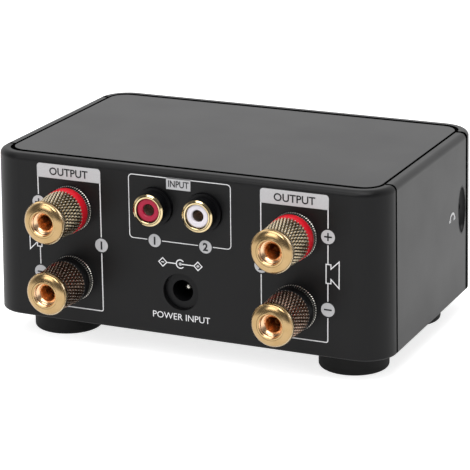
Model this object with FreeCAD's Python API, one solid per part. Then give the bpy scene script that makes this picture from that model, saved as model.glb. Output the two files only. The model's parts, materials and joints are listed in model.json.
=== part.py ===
import FreeCAD, Part
import math
import os

from FreeCAD import Matrix, Vector

# Frame: millimetres, +Z up, the object stands on Z = 0.
# The rear face with the sockets looks along +Y, the front with the volume knob along -Y.
# +X is on the left of somebody who looks at the rear.

# How far a hole is cut past a face, so that it breaks through
CUT_PAST = 1.0

# Points whose heights differ by less than this are on one level
LEVEL_TOLERANCE = 1e-6

# Case
CASE_TOP_WIDTH = 110.6
SIDE_DRAFT = 0.8
CASE_DEPTH = 72.8
CASE_HEIGHT = 44.4
CORNER_RADIUS = 8.6
SEAM_SETBACK = 9.0
REAR_SEAM_GAP = 1.0
FRONT_SEAM_GAP = 1.5
TOP_ROUND = 1.6
BOTTOM_ROUND = 0.6
WALL = 2.0

# Inlaid top plate and the deck that it lies on
PLATE_INSET = 2.8
PLATE_THICKNESS = 1.5
PLATE_CORNER = 5.5
PLATE_GAP = 0.6
PLATE_END_GAP = 1.4
PLATE_CHAMFER = 0.25
DECK_THICKNESS = 1.5

# Tongues that close the seams, and the tabs that the feet's screws hold
TONGUE_THICKNESS = 1.2
TONGUE_LENGTH = 3.5
TONGUE_ROOT = 3.0
TONGUE_FIT = 0.15
TAB_WIDTH = 9.0
TAB_THICKNESS = 1.5
BOSS_RADIUS = 3.8
BOSS_HEIGHT = 5.0
BOSS_EDGE = 0.6

# Feet
FOOT_RADIUS = 9.2
FOOT_HEIGHT = 7.2
FOOT_EDGE = 0.8
FOOT_INSET = 13.7
FOOT_SETBACK = 16.3
FOOT_SEAT = 3.0
FOOT_RECESS_RADIUS = 3.6
SCREW_RADIUS = 1.5
SCREW_HEAD_RADIUS = 2.8
SCREW_HEAD_HEIGHT = 1.9
SCREW_TIP_GAP = 0.5
CROSS_HALF_LENGTH = 1.6
CROSS_HALF_WIDTH = 0.35
CROSS_DEPTH = 1.0
SCREW_CLEARANCE = 0.2
THREAD_CLEARANCE = 0.05

# Binding posts, with lengths measured outward from the rear face
POST_INSET = 23.75
POST_LOW = 12.1
POST_PITCH = 19.05
STUD_RADIUS = 2.95
STUD_FRONT = 14.5
STUD_TAIL = 5.9
STUD_TAIL_BEVEL = 0.4
STUD_MOUTH_BEVEL = 0.2
FUNNEL_RADIUS = 2.6
FUNNEL_DEPTH = 0.9
DRILL_POINT = 1.0
PLUG_BORE_RADIUS = 2.02
PLUG_BORE_DEPTH = 15.2
WIRE_HOLE_RADIUS = 1.1
POST_RUNNING_FIT = 0.08
FACE_GAP = 0.05
BASE_RADIUS = 6.2
BASE_THICKNESS = 1.4
BASE_BEVEL = 0.2
RING_RADIUS = 6.0
RING_THICKNESS = 2.7
RING_BEVEL = 0.15
BARREL_BASE_RADIUS = 5.95
BARREL_NECK_RADIUS = 5.4
BARREL_LENGTH = 8.7
NECK_RADIUS = 5.1
NECK_LENGTH = 0.4
CAP_RADIUS = 5.77
CAP_RIM = 1.0
CAP_DOME = 1.1
CAP_FLAT_RADIUS = 3.7
CAP_RIM_BEVEL = 0.1
CAP_CROWN_RADIUS = 5.055
CAP_CROWN_SHARE = 0.72
CAP_MOUTH_BEVEL = 0.15
POST_WASHER_RADIUS = 6.4
POST_WASHER_THICKNESS = 0.8
TAG_THICKNESS = 0.8
TAG_RADIUS = 5.0
TAG_STRIP_WIDTH = 3.0
TAG_STRIP_OFFSET = 8.0
TAG_FOOT_LENGTH = 20.0
HEX_FLATS = 9.0
HEX_THICKNESS = 2.4

# Phono sockets
PHONO_PITCH = 13.8
PHONO_DROP = 9.86
PHONO_HOLE_GAP = 0.1
PHONO_COLLAR_RADIUS = 5.0
PHONO_COLLAR_PROUD = 1.1
PHONO_RADIUS = 4.2
PHONO_TANG_RADIUS = 3.65
PHONO_PROUD = 4.55
PHONO_LIP = 0.65
PHONO_STEP = 0.35
PHONO_EDGE = 0.3
PHONO_LIP_BEVEL = 0.15
PHONO_LIP_SLOPE = 0.2
PHONO_INSULATOR_RADIUS = 3.05
PHONO_INSULATOR_SINK = 0.5
PHONO_INSULATOR_BEVEL = 0.2
PHONO_MOUTH_THICKNESS = 0.7
PHONO_PIN_RADIUS = 1.6
PHONO_PIN_DEPTH = 8.0
PHONO_CONTACT_WALL = 0.35
PHONO_BLOCK_WIDTH = 27.0
PHONO_BLOCK_DEPTH = 11.2
PHONO_BLOCK_HALF_HEIGHT = 5.3
PHONO_BLOCK_FEET = 0.6
PHONO_BLOCK_FLOOR = 1.0
PHONO_ROOT = 3.0

# Power inlet
INLET_HEIGHT = 12.23
INLET_HOLE = 5.0
INLET_SINK = 1.3
INLET_NOSE_GAP = 0.1
INLET_NOSE_LENGTH = 2.0
INLET_BORE = 2.88
INLET_BORE_DEPTH = 10.5
INLET_PIN = 1.05
INLET_PIN_SINK = 2.9
INLET_BODY_WIDTH = 9.8
INLET_BODY_DEPTH = 13.4
INLET_BODY_ABOVE = 5.2

# Boards
BOARD_THICKNESS = 1.6
PART_GAP = 0.2
STANDOFF_HEIGHT = 3.0
STANDOFF_RADIUS = 2.6
STANDOFF_FLOOR = 0.4
MAIN_SIDE_MARGIN = 2.45
MAIN_FRONT_GAP = 1.8
MAIN_REAR_SETBACK = 19.4
MAIN_TONGUE_HALF = 15.0
BOARD_REAR_GAP = 1.2
MAIN_SCREW_INSET = 2.6
MAIN_SCREW_POST_GAP = 13.05
BOARD_SCREW_RADIUS = 1.0
BOARD_SCREW_BITE = 2.2
BOARD_HEAD_RADIUS = 2.2
BOARD_HEAD_HEIGHT = 1.4
SLOT_WIDTH = 0.6
SLOT_DEPTH = 0.6
INPUT_HALF_WIDTH = 17.0
INPUT_LENGTH = 25.2
INPUT_SPACER_X = 12.5
INPUT_SPACER_RADIUS = 2.4
INPUT_SPACER_GAP = 2.1
FRONT_BOARD_SIDE_GAP = 3.3
FRONT_BOARD_LIFT = 7.6
FRONT_BOARD_DROP = 3.4
HEADER_PINS = 5
HEADER_PITCH = 2.54
HEADER_PIN = 0.64
HEADER_X = 1.15
HEADER_WIDTH = 2.5
HEADER_SETBACK = 3.0
ANGLE_HEADER_HALF = 8.0
ANGLE_HEADER_OVERLAP = 3.0
ANGLE_HEADER_RISE = 3.5

# Components on the main board
CHIP_SIZE = (14.0, 8.0, 1.2)
CHIP_SETBACK = 10.9
SINK_WIDTH = 24.0
SINK_LENGTH = 13.5
SINK_BASE = 2.0
SINK_HEIGHT = 12.0
SINK_FIN = 1.2
SINK_FINS = 7
CAN_RADIUS = 5.0
CAN_HEIGHT = 16.0
CAN_INSET = 9.0
CAN_SETBACK = 7.6
CAN_PITCH = 10.4
CAN_COUNT = 2
CAN_GROOVE = 0.5
CAN_GROOVE_HEIGHT = 2.2
CHOKE_SIDE = 6.0
CHOKE_HEIGHT = 6.0
CHOKE_BEVEL = 0.8
CHOKE_INSET = 4.5
CHOKE_SETBACK = 8.1
CHOKE_PITCH = 7.2
CHOKE_COUNT = 2
FILM_SIZE = (6.4, 2.5, 6.5)
FILM_INSET = 3.6
FILM_SETBACK = 6.5
FILM_PITCH = 7.0
FILM_COUNT = 4

# Volume control on the front
KNOB_INSET = 31.3
KNOB_RADIUS = 13.0
KNOB_PROUD = 15.4
KNOB_STANDOFF = 1.0
KNOB_EDGE = 1.2
KNOB_BACK_BEVEL = 0.4
KNOB_HOLLOW_RADIUS = 8.5
KNOB_HOLLOW_DEPTH = 5.0
KNOB_MARK_WIDTH = 1.4
KNOB_MARK_DEPTH = 0.5
KNOB_MARK_START = 7.15
SHAFT_RADIUS = 3.0
SHAFT_LENGTH = 12.0
BUSH_RADIUS = 3.5
BUSH_PROUD = 3.4
BUSH_FIT = 0.1
SHAFT_FIT = 0.06
POT_RADIUS = 8.25
POT_DEPTH = 7.0
POT_FRAME_WIDTH = 13.0
POT_FRAME_HEIGHT = 14.0
POT_FLOOR = 1.0
SHAFT_END_GAP = 0.5
POT_WASHER_RADIUS = 5.8
POT_WASHER_THICKNESS = 0.5
POT_NUT_FLATS = 10.0
POT_NUT_THICKNESS = 2.0

# Power button and lamp on the front
BUTTON_INSET = 20.3
BUTTON_RADIUS = 4.7
BUTTON_PROUD = 2.6
BUTTON_HOLE = 5.0
BUTTON_TRAVEL = 2.0
BUTTON_COLLAR_RADIUS = 5.8
BUTTON_COLLAR = 1.0
BUTTON_FREE = 0.3
BUTTON_BEVEL = 0.5
BUTTON_DISH = 0.35
PLUNGER_RADIUS = 1.6
PLUNGER_FIT = 0.08
PLUNGER_DEPTH = 2.4
SWITCH_SIDE = 8.5
SWITCH_DEPTH = 8.0
LAMP_SPACING = 13.0
LAMP_RADIUS = 1.5
LAMP_PROUD = 0.7
LAMP_LENGTH = 5.0
LAMP_FLANGE = 1.9
LAMP_LEG = 0.5
LAMP_LEG_PITCH = 2.54

# Headphone socket in an oval cup on the side, near the front
CUP_SETBACK = 13.0
CUP_HEIGHT = 24.0
CUP_HALF_LENGTH = 3.1
CUP_HALF_HEIGHT = 6.6
CUP_DEPTH = 2.5
CUP_RIM = 0.25
CUP_FLANGE = 1.2
CUP_FLANGE_THICKNESS = 1.3
CUP_FIT = 0.1
CUP_WALL_FIT = 0.02
CUP_HOLE = 2.4
PHONES_BORE = 1.8
PHONES_BORE_DEPTH = 11.0
PHONES_BODY_LENGTH = 12.0
PHONES_BODY_SIDE = 6.0
PHONES_BODY_HALF_HEIGHT = 3.0
LEAF_THICKNESS = 0.3
LEAF_WIDTH = 1.6
LEAF_START = 2.0
LEAF_PITCH = 3.2
LEAF_COUNT = 3
LEAF_REACH = 5.0
LEAF_PAD = 1.5

# Levels and planes worked out from the sizes above
REAR = CASE_DEPTH / 2
FRONT = -REAR
CASE_BASE = FOOT_HEIGHT
CASE_TOP = CASE_BASE + CASE_HEIGHT
FLOOR_TOP = CASE_BASE + WALL
STANDOFF_ROOT = FLOOR_TOP - WALL / 2
DECK_BOTTOM = CASE_TOP - PLATE_THICKNESS - DECK_THICKNESS
SEAM_REAR = REAR - SEAM_SETBACK
SEAM_FRONT = FRONT + SEAM_SETBACK
HALF_WIDTH = CASE_TOP_WIDTH / 2
BACK_INSIDE = REAR - WALL
FRONT_INSIDE = FRONT + WALL
FOOT_X = HALF_WIDTH - FOOT_INSET
FOOT_Y = REAR - FOOT_SETBACK
POST_X = HALF_WIDTH - POST_INSET
POST_LOW_Z = CASE_BASE + POST_LOW
POST_HIGH_Z = POST_LOW_Z + POST_PITCH
PHONO_Z = CASE_TOP - PHONO_DROP
INLET_Z = CASE_BASE + INLET_HEIGHT
CONTROL_Z = CASE_BASE + CASE_HEIGHT / 2
KNOB_X = HALF_WIDTH - KNOB_INSET
BUTTON_X = BUTTON_INSET - HALF_WIDTH
LAMP_X = BUTTON_X + LAMP_SPACING
CUP_Y = FRONT + CUP_SETBACK
CUP_Z = CASE_BASE + CUP_HEIGHT
FRONT_BOARD_FACE = CUP_Y + PHONES_BODY_SIDE / 2
FRONT_BOARD_BACK = FRONT_BOARD_FACE + BOARD_THICKNESS
FRONT_BOARD_BOTTOM = FLOOR_TOP + FRONT_BOARD_LIFT
MAIN_BOTTOM = FLOOR_TOP + STANDOFF_HEIGHT
MAIN_TOP = MAIN_BOTTOM + BOARD_THICKNESS
MAIN_HALF_WIDTH = POST_X + MAIN_SIDE_MARGIN
MAIN_FRONT = FRONT_BOARD_BACK + MAIN_FRONT_GAP
MAIN_REAR = REAR - MAIN_REAR_SETBACK
MAIN_SCREW_REAR_X = POST_X - MAIN_SCREW_POST_GAP
BOARD_REAR = BACK_INSIDE - BOARD_REAR_GAP
CHIP_Y = MAIN_FRONT + CHIP_SETBACK
PHONO_BLOCK_FRONT = BACK_INSIDE - PART_GAP
PHONO_BLOCK_BACK = PHONO_BLOCK_FRONT - PHONO_BLOCK_DEPTH
INPUT_TOP = PHONO_Z - PHONO_BLOCK_HALF_HEIGHT - PHONO_BLOCK_FEET
INPUT_BOTTOM = INPUT_TOP - BOARD_THICKNESS
INPUT_FRONT = BOARD_REAR - INPUT_LENGTH
INPUT_SPACER_Y = PHONO_BLOCK_BACK - INPUT_SPACER_GAP - INPUT_SPACER_RADIUS
POT_FRONT = FRONT_INSIDE + PART_GAP
SWITCH_FRONT = FRONT_BOARD_FACE - SWITCH_DEPTH
POSTS = {
    "post_1_plus": (POST_X, POST_HIGH_Z),
    "post_1_minus": (POST_X, POST_LOW_Z),
    "post_2_plus": (-POST_X, POST_HIGH_Z),
    "post_2_minus": (-POST_X, POST_LOW_Z),
}
PHONOS = {"phono_1": PHONO_PITCH / 2, "phono_2": -PHONO_PITCH / 2}
FEET = {
    "foot_rear_1": (FOOT_X, FOOT_Y),
    "foot_rear_2": (-FOOT_X, FOOT_Y),
    "foot_front_1": (FOOT_X, -FOOT_Y),
    "foot_front_2": (-FOOT_X, -FOOT_Y),
}


def block(x0, x1, y0, y1, z0, z1):
    """A box between two corners."""
    return Part.makeBox(x1 - x0, y1 - y0, z1 - z0, Vector(x0, y0, z0))


def rod_y(x, z, radius, y0, y1):
    """A cylinder along Y."""
    return Part.makeCylinder(radius, y1 - y0, Vector(x, y0, z), Vector(0, 1, 0))


def rod_z(x, y, radius, z0, z1):
    """A cylinder along Z."""
    return Part.makeCylinder(radius, z1 - z0, Vector(x, y, z0), Vector(0, 0, 1))


def rod_x(y, z, radius, x0, x1):
    """A cylinder along X."""
    return Part.makeCylinder(radius, x1 - x0, Vector(x0, y, z), Vector(1, 0, 0))


def section_edge(start, step):
    """A line to (length, radius), or an arc through a middle point given first."""
    if len(step) == 2:
        return Part.makeLine(start, Vector(step[1], step[0], 0))
    middle = Vector(step[1], step[0], 0)
    return Part.Arc(start, middle, Vector(step[3], step[2], 0)).toShape()


def turned(section):
    """A turned solid about +Y. The section's points are (length along Y, radius)."""
    start = Vector(section[0][1], section[0][0], 0)
    edges = []
    place = start
    for step in section[1:]:
        edge = section_edge(place, step)
        edges.append(edge)
        place = edge.Vertexes[-1].Point
    edges.append(Part.makeLine(place, start))
    face = Part.Face(Part.Wire(edges))
    return face.revolve(Vector(0, 0, 0), Vector(0, 1, 0), 360)


def outward_at(shape, x, z):
    """Moves a piece turned about +Y onto the rear face, at x and z."""
    moved = shape.copy()
    moved.translate(Vector(x, REAR, z))
    return moved


def hexagon_y(x, z, flats, y0, y1):
    """A hexagonal prism along Y, with flat sides up and down."""
    corner = flats / 2 / math.cos(math.pi / 6)
    points = []
    for k in range(7):
        angle = k * math.pi / 3
        points.append(Vector(x + corner * math.cos(angle), y0, z + corner * math.sin(angle)))
    return Part.Face(Part.makePolygon(points)).extrude(Vector(0, y1 - y0, 0))


def union(shapes):
    """One shape from several that touch."""
    whole = shapes[0]
    for shape in shapes[1:]:
        whole = whole.fuse(shape)
    return whole.removeSplitter()


def half_width(z):
    """Half the case's outer width at height z. The sides lean out towards the bottom."""
    return CASE_TOP_WIDTH / 2 + SIDE_DRAFT * (CASE_TOP - z) / CASE_HEIGHT


def edges_along_height(solid):
    """The edges whose two ends are at different heights."""
    found = []
    for edge in solid.Edges:
        if abs(edge.Vertexes[0].Point.z - edge.Vertexes[-1].Point.z) > LEVEL_TOLERANCE:
            found.append(edge)
    return found


def edges_at_height(solid, z):
    """The edges that lie flat at height z."""
    found = []
    for edge in solid.Edges:
        if all(abs(vertex.Point.z - z) < LEVEL_TOLERANCE for vertex in edge.Vertexes):
            found.append(edge)
    return found


def case_form(inset, bottom, top):
    """The case's rounded and slightly tapered block, drawn in by inset all round."""
    low = half_width(bottom) - inset
    high = half_width(top) - inset
    depth = CASE_DEPTH / 2 - inset
    corners = [(-low, bottom), (low, bottom), (high, top), (-high, top), (-low, bottom)]
    outline = Part.makePolygon([Vector(x, -depth, z) for x, z in corners])
    form = Part.Face(outline).extrude(Vector(0, 2 * depth, 0))
    return form.makeFillet(CORNER_RADIUS - inset, edges_along_height(form))


def outer_form():
    """The case's outside, with its top and bottom edges rounded."""
    form = case_form(0.0, CASE_BASE, CASE_TOP)
    form = form.makeFillet(TOP_ROUND, edges_at_height(form, CASE_TOP))
    return form.makeFillet(BOTTOM_ROUND, edges_at_height(form, CASE_BASE))


def inner_form(extra):
    """The case's inside, drawn in by extra from the walls, the floor and the deck."""
    return case_form(WALL + extra, FLOOR_TOP + extra, DECK_BOTTOM - extra)


def plate_block(gap, end_gap, bottom, top):
    """A block with the top plate's rounded outline, smaller by gap at the sides and by end_gap at the ends."""
    half_x = CASE_TOP_WIDTH / 2 - PLATE_INSET - gap
    half_y = CASE_DEPTH / 2 - PLATE_INSET - end_gap
    plate = block(-half_x, half_x, -half_y, half_y, bottom, top)
    return plate.makeFillet(PLATE_CORNER - gap, edges_along_height(plate))


def slab_y(y0, y1):
    """Everything between two planes across Y, as large as the whole case."""
    reach = CASE_TOP_WIDTH
    return block(-reach, reach, y0, y1, CASE_BASE - CUT_PAST, CASE_TOP + CUT_PAST)


def top_plate():
    plate = plate_block(PLATE_GAP, PLATE_END_GAP, CASE_TOP - PLATE_THICKNESS, CASE_TOP)
    return plate.makeChamfer(PLATE_CHAMFER, edges_at_height(plate, CASE_TOP))


def plate_recess():
    """What the top plate's pocket is cut with."""
    return plate_block(0.0, 0.0, CASE_TOP - PLATE_THICKNESS, CASE_TOP + CUT_PAST)


def cup_oval(extra, x0, x1):
    """An upright oval prism along X at the headphone cup."""
    oval = Part.Ellipse(Vector(0, 0, 0), CUP_HALF_HEIGHT + extra, CUP_HALF_LENGTH + extra).toShape()
    face = Part.Face(Part.Wire([oval]))
    face.rotate(Vector(0, 0, 0), Vector(0, 1, 0), -90)
    face.translate(Vector(x0, CUP_Y, CUP_Z))
    return face.extrude(Vector(x1 - x0, 0, 0))


def case_sleeve():
    """The middle of the case: floor, side walls and deck in one extrusion."""
    sleeve = outer_form().common(slab_y(SEAM_FRONT + FRONT_SEAM_GAP / 2, SEAM_REAR - REAR_SEAM_GAP / 2))
    sleeve = sleeve.cut(inner_form(0.0)).cut(plate_recess())
    reach = half_width(CASE_BASE) + CUT_PAST
    sleeve = sleeve.cut(cup_oval(CUP_FIT, -reach, -reach + 2 * WALL + CUT_PAST))
    for x, y in FEET.values():
        sleeve = sleeve.cut(rod_z(x, y, SCREW_RADIUS + SCREW_CLEARANCE, CASE_BASE, FLOOR_TOP))
    for x, y in main_screw_places():
        sleeve = sleeve.cut(rod_z(x, y, SCREW_RADIUS, STANDOFF_ROOT, FLOOR_TOP))
    return sleeve


def shell_edge(end):
    """Where a shell's edge lies along Y. end is +1 at the rear, -1 at the front."""
    gap = REAR_SEAM_GAP if end > 0 else FRONT_SEAM_GAP
    return end * (REAR - SEAM_SETBACK + gap / 2)


def shell_tongue(seam, end):
    """The lip that backs the seam, rooted inside the shell. end is +1 at the rear."""
    reach_in = seam - end * TONGUE_LENGTH
    reach_out = seam + end * TONGUE_ROOT
    step = shell_edge(end)
    ring = inner_form(TONGUE_FIT).cut(inner_form(TONGUE_FIT + TONGUE_THICKNESS))
    root = inner_form(0.0).cut(inner_form(TONGUE_FIT + TONGUE_THICKNESS))
    ring = ring.common(slab_y(min(reach_in, reach_out), max(reach_in, reach_out)))
    root = root.common(slab_y(min(step, reach_out), max(step, reach_out)))
    return ring, root


def shell_tab(x, end):
    """A tab on the tongue's floor with the boss that a foot's screw bites into."""
    y = end * FOOT_Y
    seam = end * (REAR - SEAM_SETBACK)
    bottom = FLOOR_TOP + TONGUE_FIT
    near = y - end * (BOSS_RADIUS + BOSS_EDGE)
    tab = block(x - TAB_WIDTH / 2, x + TAB_WIDTH / 2, min(near, seam), max(near, seam),
                bottom, bottom + TAB_THICKNESS)
    boss = rod_z(x, y, BOSS_RADIUS, bottom, bottom + BOSS_HEIGHT)
    return tab, boss


def end_shell(end):
    """The shell that closes one end of the case. end is +1 at the rear, -1 at the front."""
    seam = end * (REAR - SEAM_SETBACK)
    edge = shell_edge(end)
    far = end * (REAR + CUT_PAST)
    shell = outer_form().common(slab_y(min(edge, far), max(edge, far)))
    shell = shell.cut(inner_form(0.0)).cut(plate_recess())
    ring, root = shell_tongue(seam, end)
    pieces = [shell, root, ring]
    for side in (1, -1):
        tab, boss = shell_tab(side * FOOT_X, end)
        pieces += [tab, boss]
    shell = union(pieces)
    for side in (1, -1):
        hole = SCREW_RADIUS + THREAD_CLEARANCE
        shell = shell.cut(rod_z(side * FOOT_X, end * FOOT_Y, hole, FLOOR_TOP, FLOOR_TOP + 2 * BOSS_HEIGHT))
    return shell


def rear_shell():
    """The rear shell with its holes for the posts, the phono sockets and the power inlet."""
    shell = end_shell(1)
    inside = BACK_INSIDE - CUT_PAST
    outside = REAR + CUT_PAST
    for x, z in POSTS.values():
        shell = shell.cut(rod_y(x, z, STUD_RADIUS + SCREW_CLEARANCE, inside, outside))
    for x in PHONOS.values():
        hole = PHONO_COLLAR_RADIUS + PHONO_HOLE_GAP
        shell = shell.cut(rod_y(x, PHONO_Z, hole, inside, outside))
    return shell.cut(rod_y(0.0, INLET_Z, INLET_HOLE, inside, outside))


def front_shell():
    """The front shell, with three holes for its controls and a notch for the headphone cup."""
    shell = end_shell(-1)
    outside = FRONT - CUT_PAST
    inside = FRONT_INSIDE + CUT_PAST
    shell = shell.cut(rod_y(KNOB_X, CONTROL_Z, BUSH_RADIUS + BUSH_FIT, outside, inside))
    shell = shell.cut(rod_y(BUTTON_X, CONTROL_Z, BUTTON_HOLE, outside, inside))
    shell = shell.cut(rod_y(LAMP_X, CONTROL_Z, LAMP_RADIUS + BUSH_FIT, outside, inside))
    wall_inside = -half_width(CUP_Z) + WALL
    notch = cup_oval(CUP_FLANGE + CUP_FIT, wall_inside, wall_inside + 2 * CUP_FLANGE_THICKNESS)
    return shell.cut(notch.common(inner_form(0.0)))


def foot(x, y):
    """A rubber foot with a rounded lower edge and a recess for its screw."""
    edge = FOOT_EDGE
    bend = edge * (1 - math.sqrt(0.5))
    section = [(0.0, FOOT_RECESS_RADIUS), (0.0, FOOT_RADIUS - edge),
               (bend, FOOT_RADIUS - bend, edge, FOOT_RADIUS),
               (FOOT_HEIGHT, FOOT_RADIUS), (FOOT_HEIGHT, SCREW_RADIUS + SCREW_CLEARANCE),
               (FOOT_HEIGHT - FOOT_SEAT, SCREW_RADIUS + SCREW_CLEARANCE),
               (FOOT_HEIGHT - FOOT_SEAT, FOOT_RECESS_RADIUS)]
    rubber = turned(section)
    rubber.rotate(Vector(0, 0, 0), Vector(1, 0, 0), 90)
    rubber.translate(Vector(x, y, 0))
    return rubber


def foot_screw(x, y):
    """The screw that holds a foot, the sleeve's floor and a shell's tab together."""
    seat = FOOT_HEIGHT - FOOT_SEAT
    tip = FLOOR_TOP + TONGUE_FIT + BOSS_HEIGHT - SCREW_TIP_GAP
    head = rod_z(x, y, SCREW_HEAD_RADIUS, seat - SCREW_HEAD_HEIGHT, seat)
    shank = rod_z(x, y, SCREW_RADIUS, seat, tip)
    screw = union([head, shank])
    under_head = seat - SCREW_HEAD_HEIGHT
    for half_x, half_y in [(CROSS_HALF_LENGTH, CROSS_HALF_WIDTH), (CROSS_HALF_WIDTH, CROSS_HALF_LENGTH)]:
        screw = screw.cut(block(x - half_x, x + half_x, y - half_y, y + half_y,
                                under_head, under_head + CROSS_DEPTH))
    return screw


def post_stud():
    """The threaded stud with its funnelled plug bore and the cross hole for a bare wire."""
    tail = -WALL - STUD_TAIL
    bore_start = STUD_FRONT - FUNNEL_DEPTH
    bore_end = bore_start - PLUG_BORE_DEPTH
    stud = turned([(tail, 0.0), (tail, STUD_RADIUS - STUD_TAIL_BEVEL), (tail + STUD_TAIL_BEVEL, STUD_RADIUS),
                   (STUD_FRONT - STUD_MOUTH_BEVEL, STUD_RADIUS), (STUD_FRONT, STUD_RADIUS - STUD_MOUTH_BEVEL),
                   (STUD_FRONT, FUNNEL_RADIUS), (bore_start, PLUG_BORE_RADIUS), (bore_end, PLUG_BORE_RADIUS),
                   (bore_end - DRILL_POINT, 0.0)])
    wire_y = BASE_THICKNESS + FACE_GAP + RING_THICKNESS / 2
    return stud.cut(rod_x(wire_y, 0.0, WIRE_HOLE_RADIUS, -2 * STUD_RADIUS, 2 * STUD_RADIUS))


def post_base():
    """The knurled rim on the rear face."""
    bore = STUD_RADIUS + POST_RUNNING_FIT
    return turned([(0.0, bore), (0.0, BASE_RADIUS), (BASE_THICKNESS - BASE_BEVEL, BASE_RADIUS),
                   (BASE_THICKNESS, BASE_RADIUS - BASE_BEVEL), (BASE_THICKNESS, bore)])


def post_ring():
    """The coloured ring between the rim and the nut."""
    near = BASE_THICKNESS + FACE_GAP
    far = near + RING_THICKNESS
    bore = STUD_RADIUS + POST_RUNNING_FIT
    inset = RING_RADIUS - RING_BEVEL
    return turned([(near, bore), (near, inset), (near + RING_BEVEL, RING_RADIUS),
                   (far - RING_BEVEL, RING_RADIUS), (far, inset), (far, bore)])


def post_nut():
    """The thumb nut: tapered barrel, neck, rim and rounded face with the plug's mouth."""
    near = BASE_THICKNESS + RING_THICKNESS + 2 * FACE_GAP
    neck = near + BARREL_LENGTH
    rim = neck + NECK_LENGTH
    shoulder = rim + CAP_RIM
    face = shoulder + CAP_DOME
    bore = STUD_RADIUS + POST_RUNNING_FIT
    crown = shoulder + CAP_DOME * CAP_CROWN_SHARE
    return turned([(near, bore), (near, BARREL_BASE_RADIUS), (neck, BARREL_NECK_RADIUS),
                   (neck + NECK_LENGTH / 2, NECK_RADIUS), (rim, CAP_RADIUS - CAP_RIM_BEVEL),
                   (rim + CAP_RIM_BEVEL, CAP_RADIUS), (shoulder, CAP_RADIUS),
                   (crown, CAP_CROWN_RADIUS, face, CAP_FLAT_RADIUS),
                   (face, bore + CAP_MOUTH_BEVEL), (face - CAP_MOUTH_BEVEL, bore)])


def post_washer(x, z):
    """The insulating washer behind the rear face."""
    front = BACK_INSIDE - POST_WASHER_THICKNESS
    disc = rod_y(x, z, POST_WASHER_RADIUS, front, BACK_INSIDE)
    return disc.cut(rod_y(x, z, STUD_RADIUS + THREAD_CLEARANCE, front - CUT_PAST, REAR))


def post_hex_nut(x, z):
    """The nut that clamps the post from inside."""
    front = BACK_INSIDE - POST_WASHER_THICKNESS - TAG_THICKNESS
    nut = hexagon_y(x, z, HEX_FLATS, front - HEX_THICKNESS, front)
    return nut.cut(rod_y(x, z, STUD_RADIUS + THREAD_CLEARANCE, front - 2 * HEX_THICKNESS, REAR))


def speaker_tag(x, z):
    """The brass strip from a post's stud down to the main board."""
    front = BACK_INSIDE - POST_WASHER_THICKNESS
    back = front - TAG_THICKNESS
    side = math.copysign(1.0, x)
    strip_x = x
    if z > POST_LOW_Z:
        strip_x = x - side * TAG_STRIP_OFFSET
    half = TAG_STRIP_WIDTH / 2
    eye = rod_y(x, z, TAG_RADIUS, back, front)
    arm = block(min(x, strip_x) - half, max(x, strip_x) + half, back, front, z - half, z + half)
    leg = block(strip_x - half, strip_x + half, back, front, MAIN_TOP, z)
    sole = block(strip_x - half, strip_x + half, front - TAG_FOOT_LENGTH, front, MAIN_TOP,
                 MAIN_TOP + TAG_THICKNESS)
    tag = union([eye, arm, leg, sole])
    return tag.cut(rod_y(x, z, STUD_RADIUS + THREAD_CLEARANCE, back - CUT_PAST, front + CUT_PAST))


def phono_block():
    """The moulded housing of both phono sockets, with collars that reach through the shell."""
    half = PHONO_BLOCK_WIDTH / 2
    front = PHONO_BLOCK_FRONT
    collar_end = REAR + PHONO_COLLAR_PROUD
    pieces = [block(-half, half, PHONO_BLOCK_BACK, front, INPUT_TOP, PHONO_Z + PHONO_BLOCK_HALF_HEIGHT)]
    for x in PHONOS.values():
        pieces.append(rod_y(x, PHONO_Z, PHONO_COLLAR_RADIUS, front - CUT_PAST, collar_end))
    housing = union(pieces)
    for x in PHONOS.values():
        housing = housing.cut(rod_y(x, PHONO_Z, PHONO_TANG_RADIUS, front - PHONO_ROOT, collar_end + CUT_PAST))
        contact = PHONO_PIN_RADIUS + PHONO_CONTACT_WALL
        housing = housing.cut(rod_y(x, PHONO_Z, contact, PHONO_BLOCK_BACK + PHONO_BLOCK_FLOOR, front))
    return housing


def phono_shell():
    """The plated sleeve that a phono plug grips, with its stepped lip."""
    root = -WALL - PART_GAP - PHONO_ROOT
    tip = PHONO_PROUD
    step = PHONO_RADIUS - PHONO_LIP
    seat = PHONO_COLLAR_PROUD
    bend = PHONO_EDGE * (1 - math.sqrt(0.5))
    return turned([(root, PHONO_INSULATOR_RADIUS), (root, PHONO_TANG_RADIUS), (seat, PHONO_TANG_RADIUS),
                   (seat, PHONO_RADIUS), (tip - PHONO_EDGE, PHONO_RADIUS),
                   (tip - bend, PHONO_RADIUS - bend, tip, PHONO_RADIUS - PHONO_EDGE),
                   (tip, step + PHONO_LIP_BEVEL), (tip - PHONO_LIP_BEVEL, step), (tip - PHONO_STEP, step),
                   (tip - PHONO_STEP - PHONO_LIP_SLOPE, PHONO_INSULATOR_RADIUS)])


def phono_insulator():
    """The coloured insulator inside the sleeve."""
    root = -WALL - PART_GAP - PHONO_ROOT
    face = PHONO_PROUD - PHONO_INSULATOR_SINK
    hole = PHONO_PIN_RADIUS + PHONO_CONTACT_WALL
    lip = PHONO_PIN_RADIUS
    bevel = PHONO_INSULATOR_BEVEL
    inside = face - PHONO_MOUTH_THICKNESS
    return turned([(root, hole), (root, PHONO_INSULATOR_RADIUS), (face - bevel, PHONO_INSULATOR_RADIUS),
                   (face, PHONO_INSULATOR_RADIUS - bevel), (face, lip + bevel), (face - bevel, lip),
                   (inside, lip), (inside, hole)])


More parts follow.
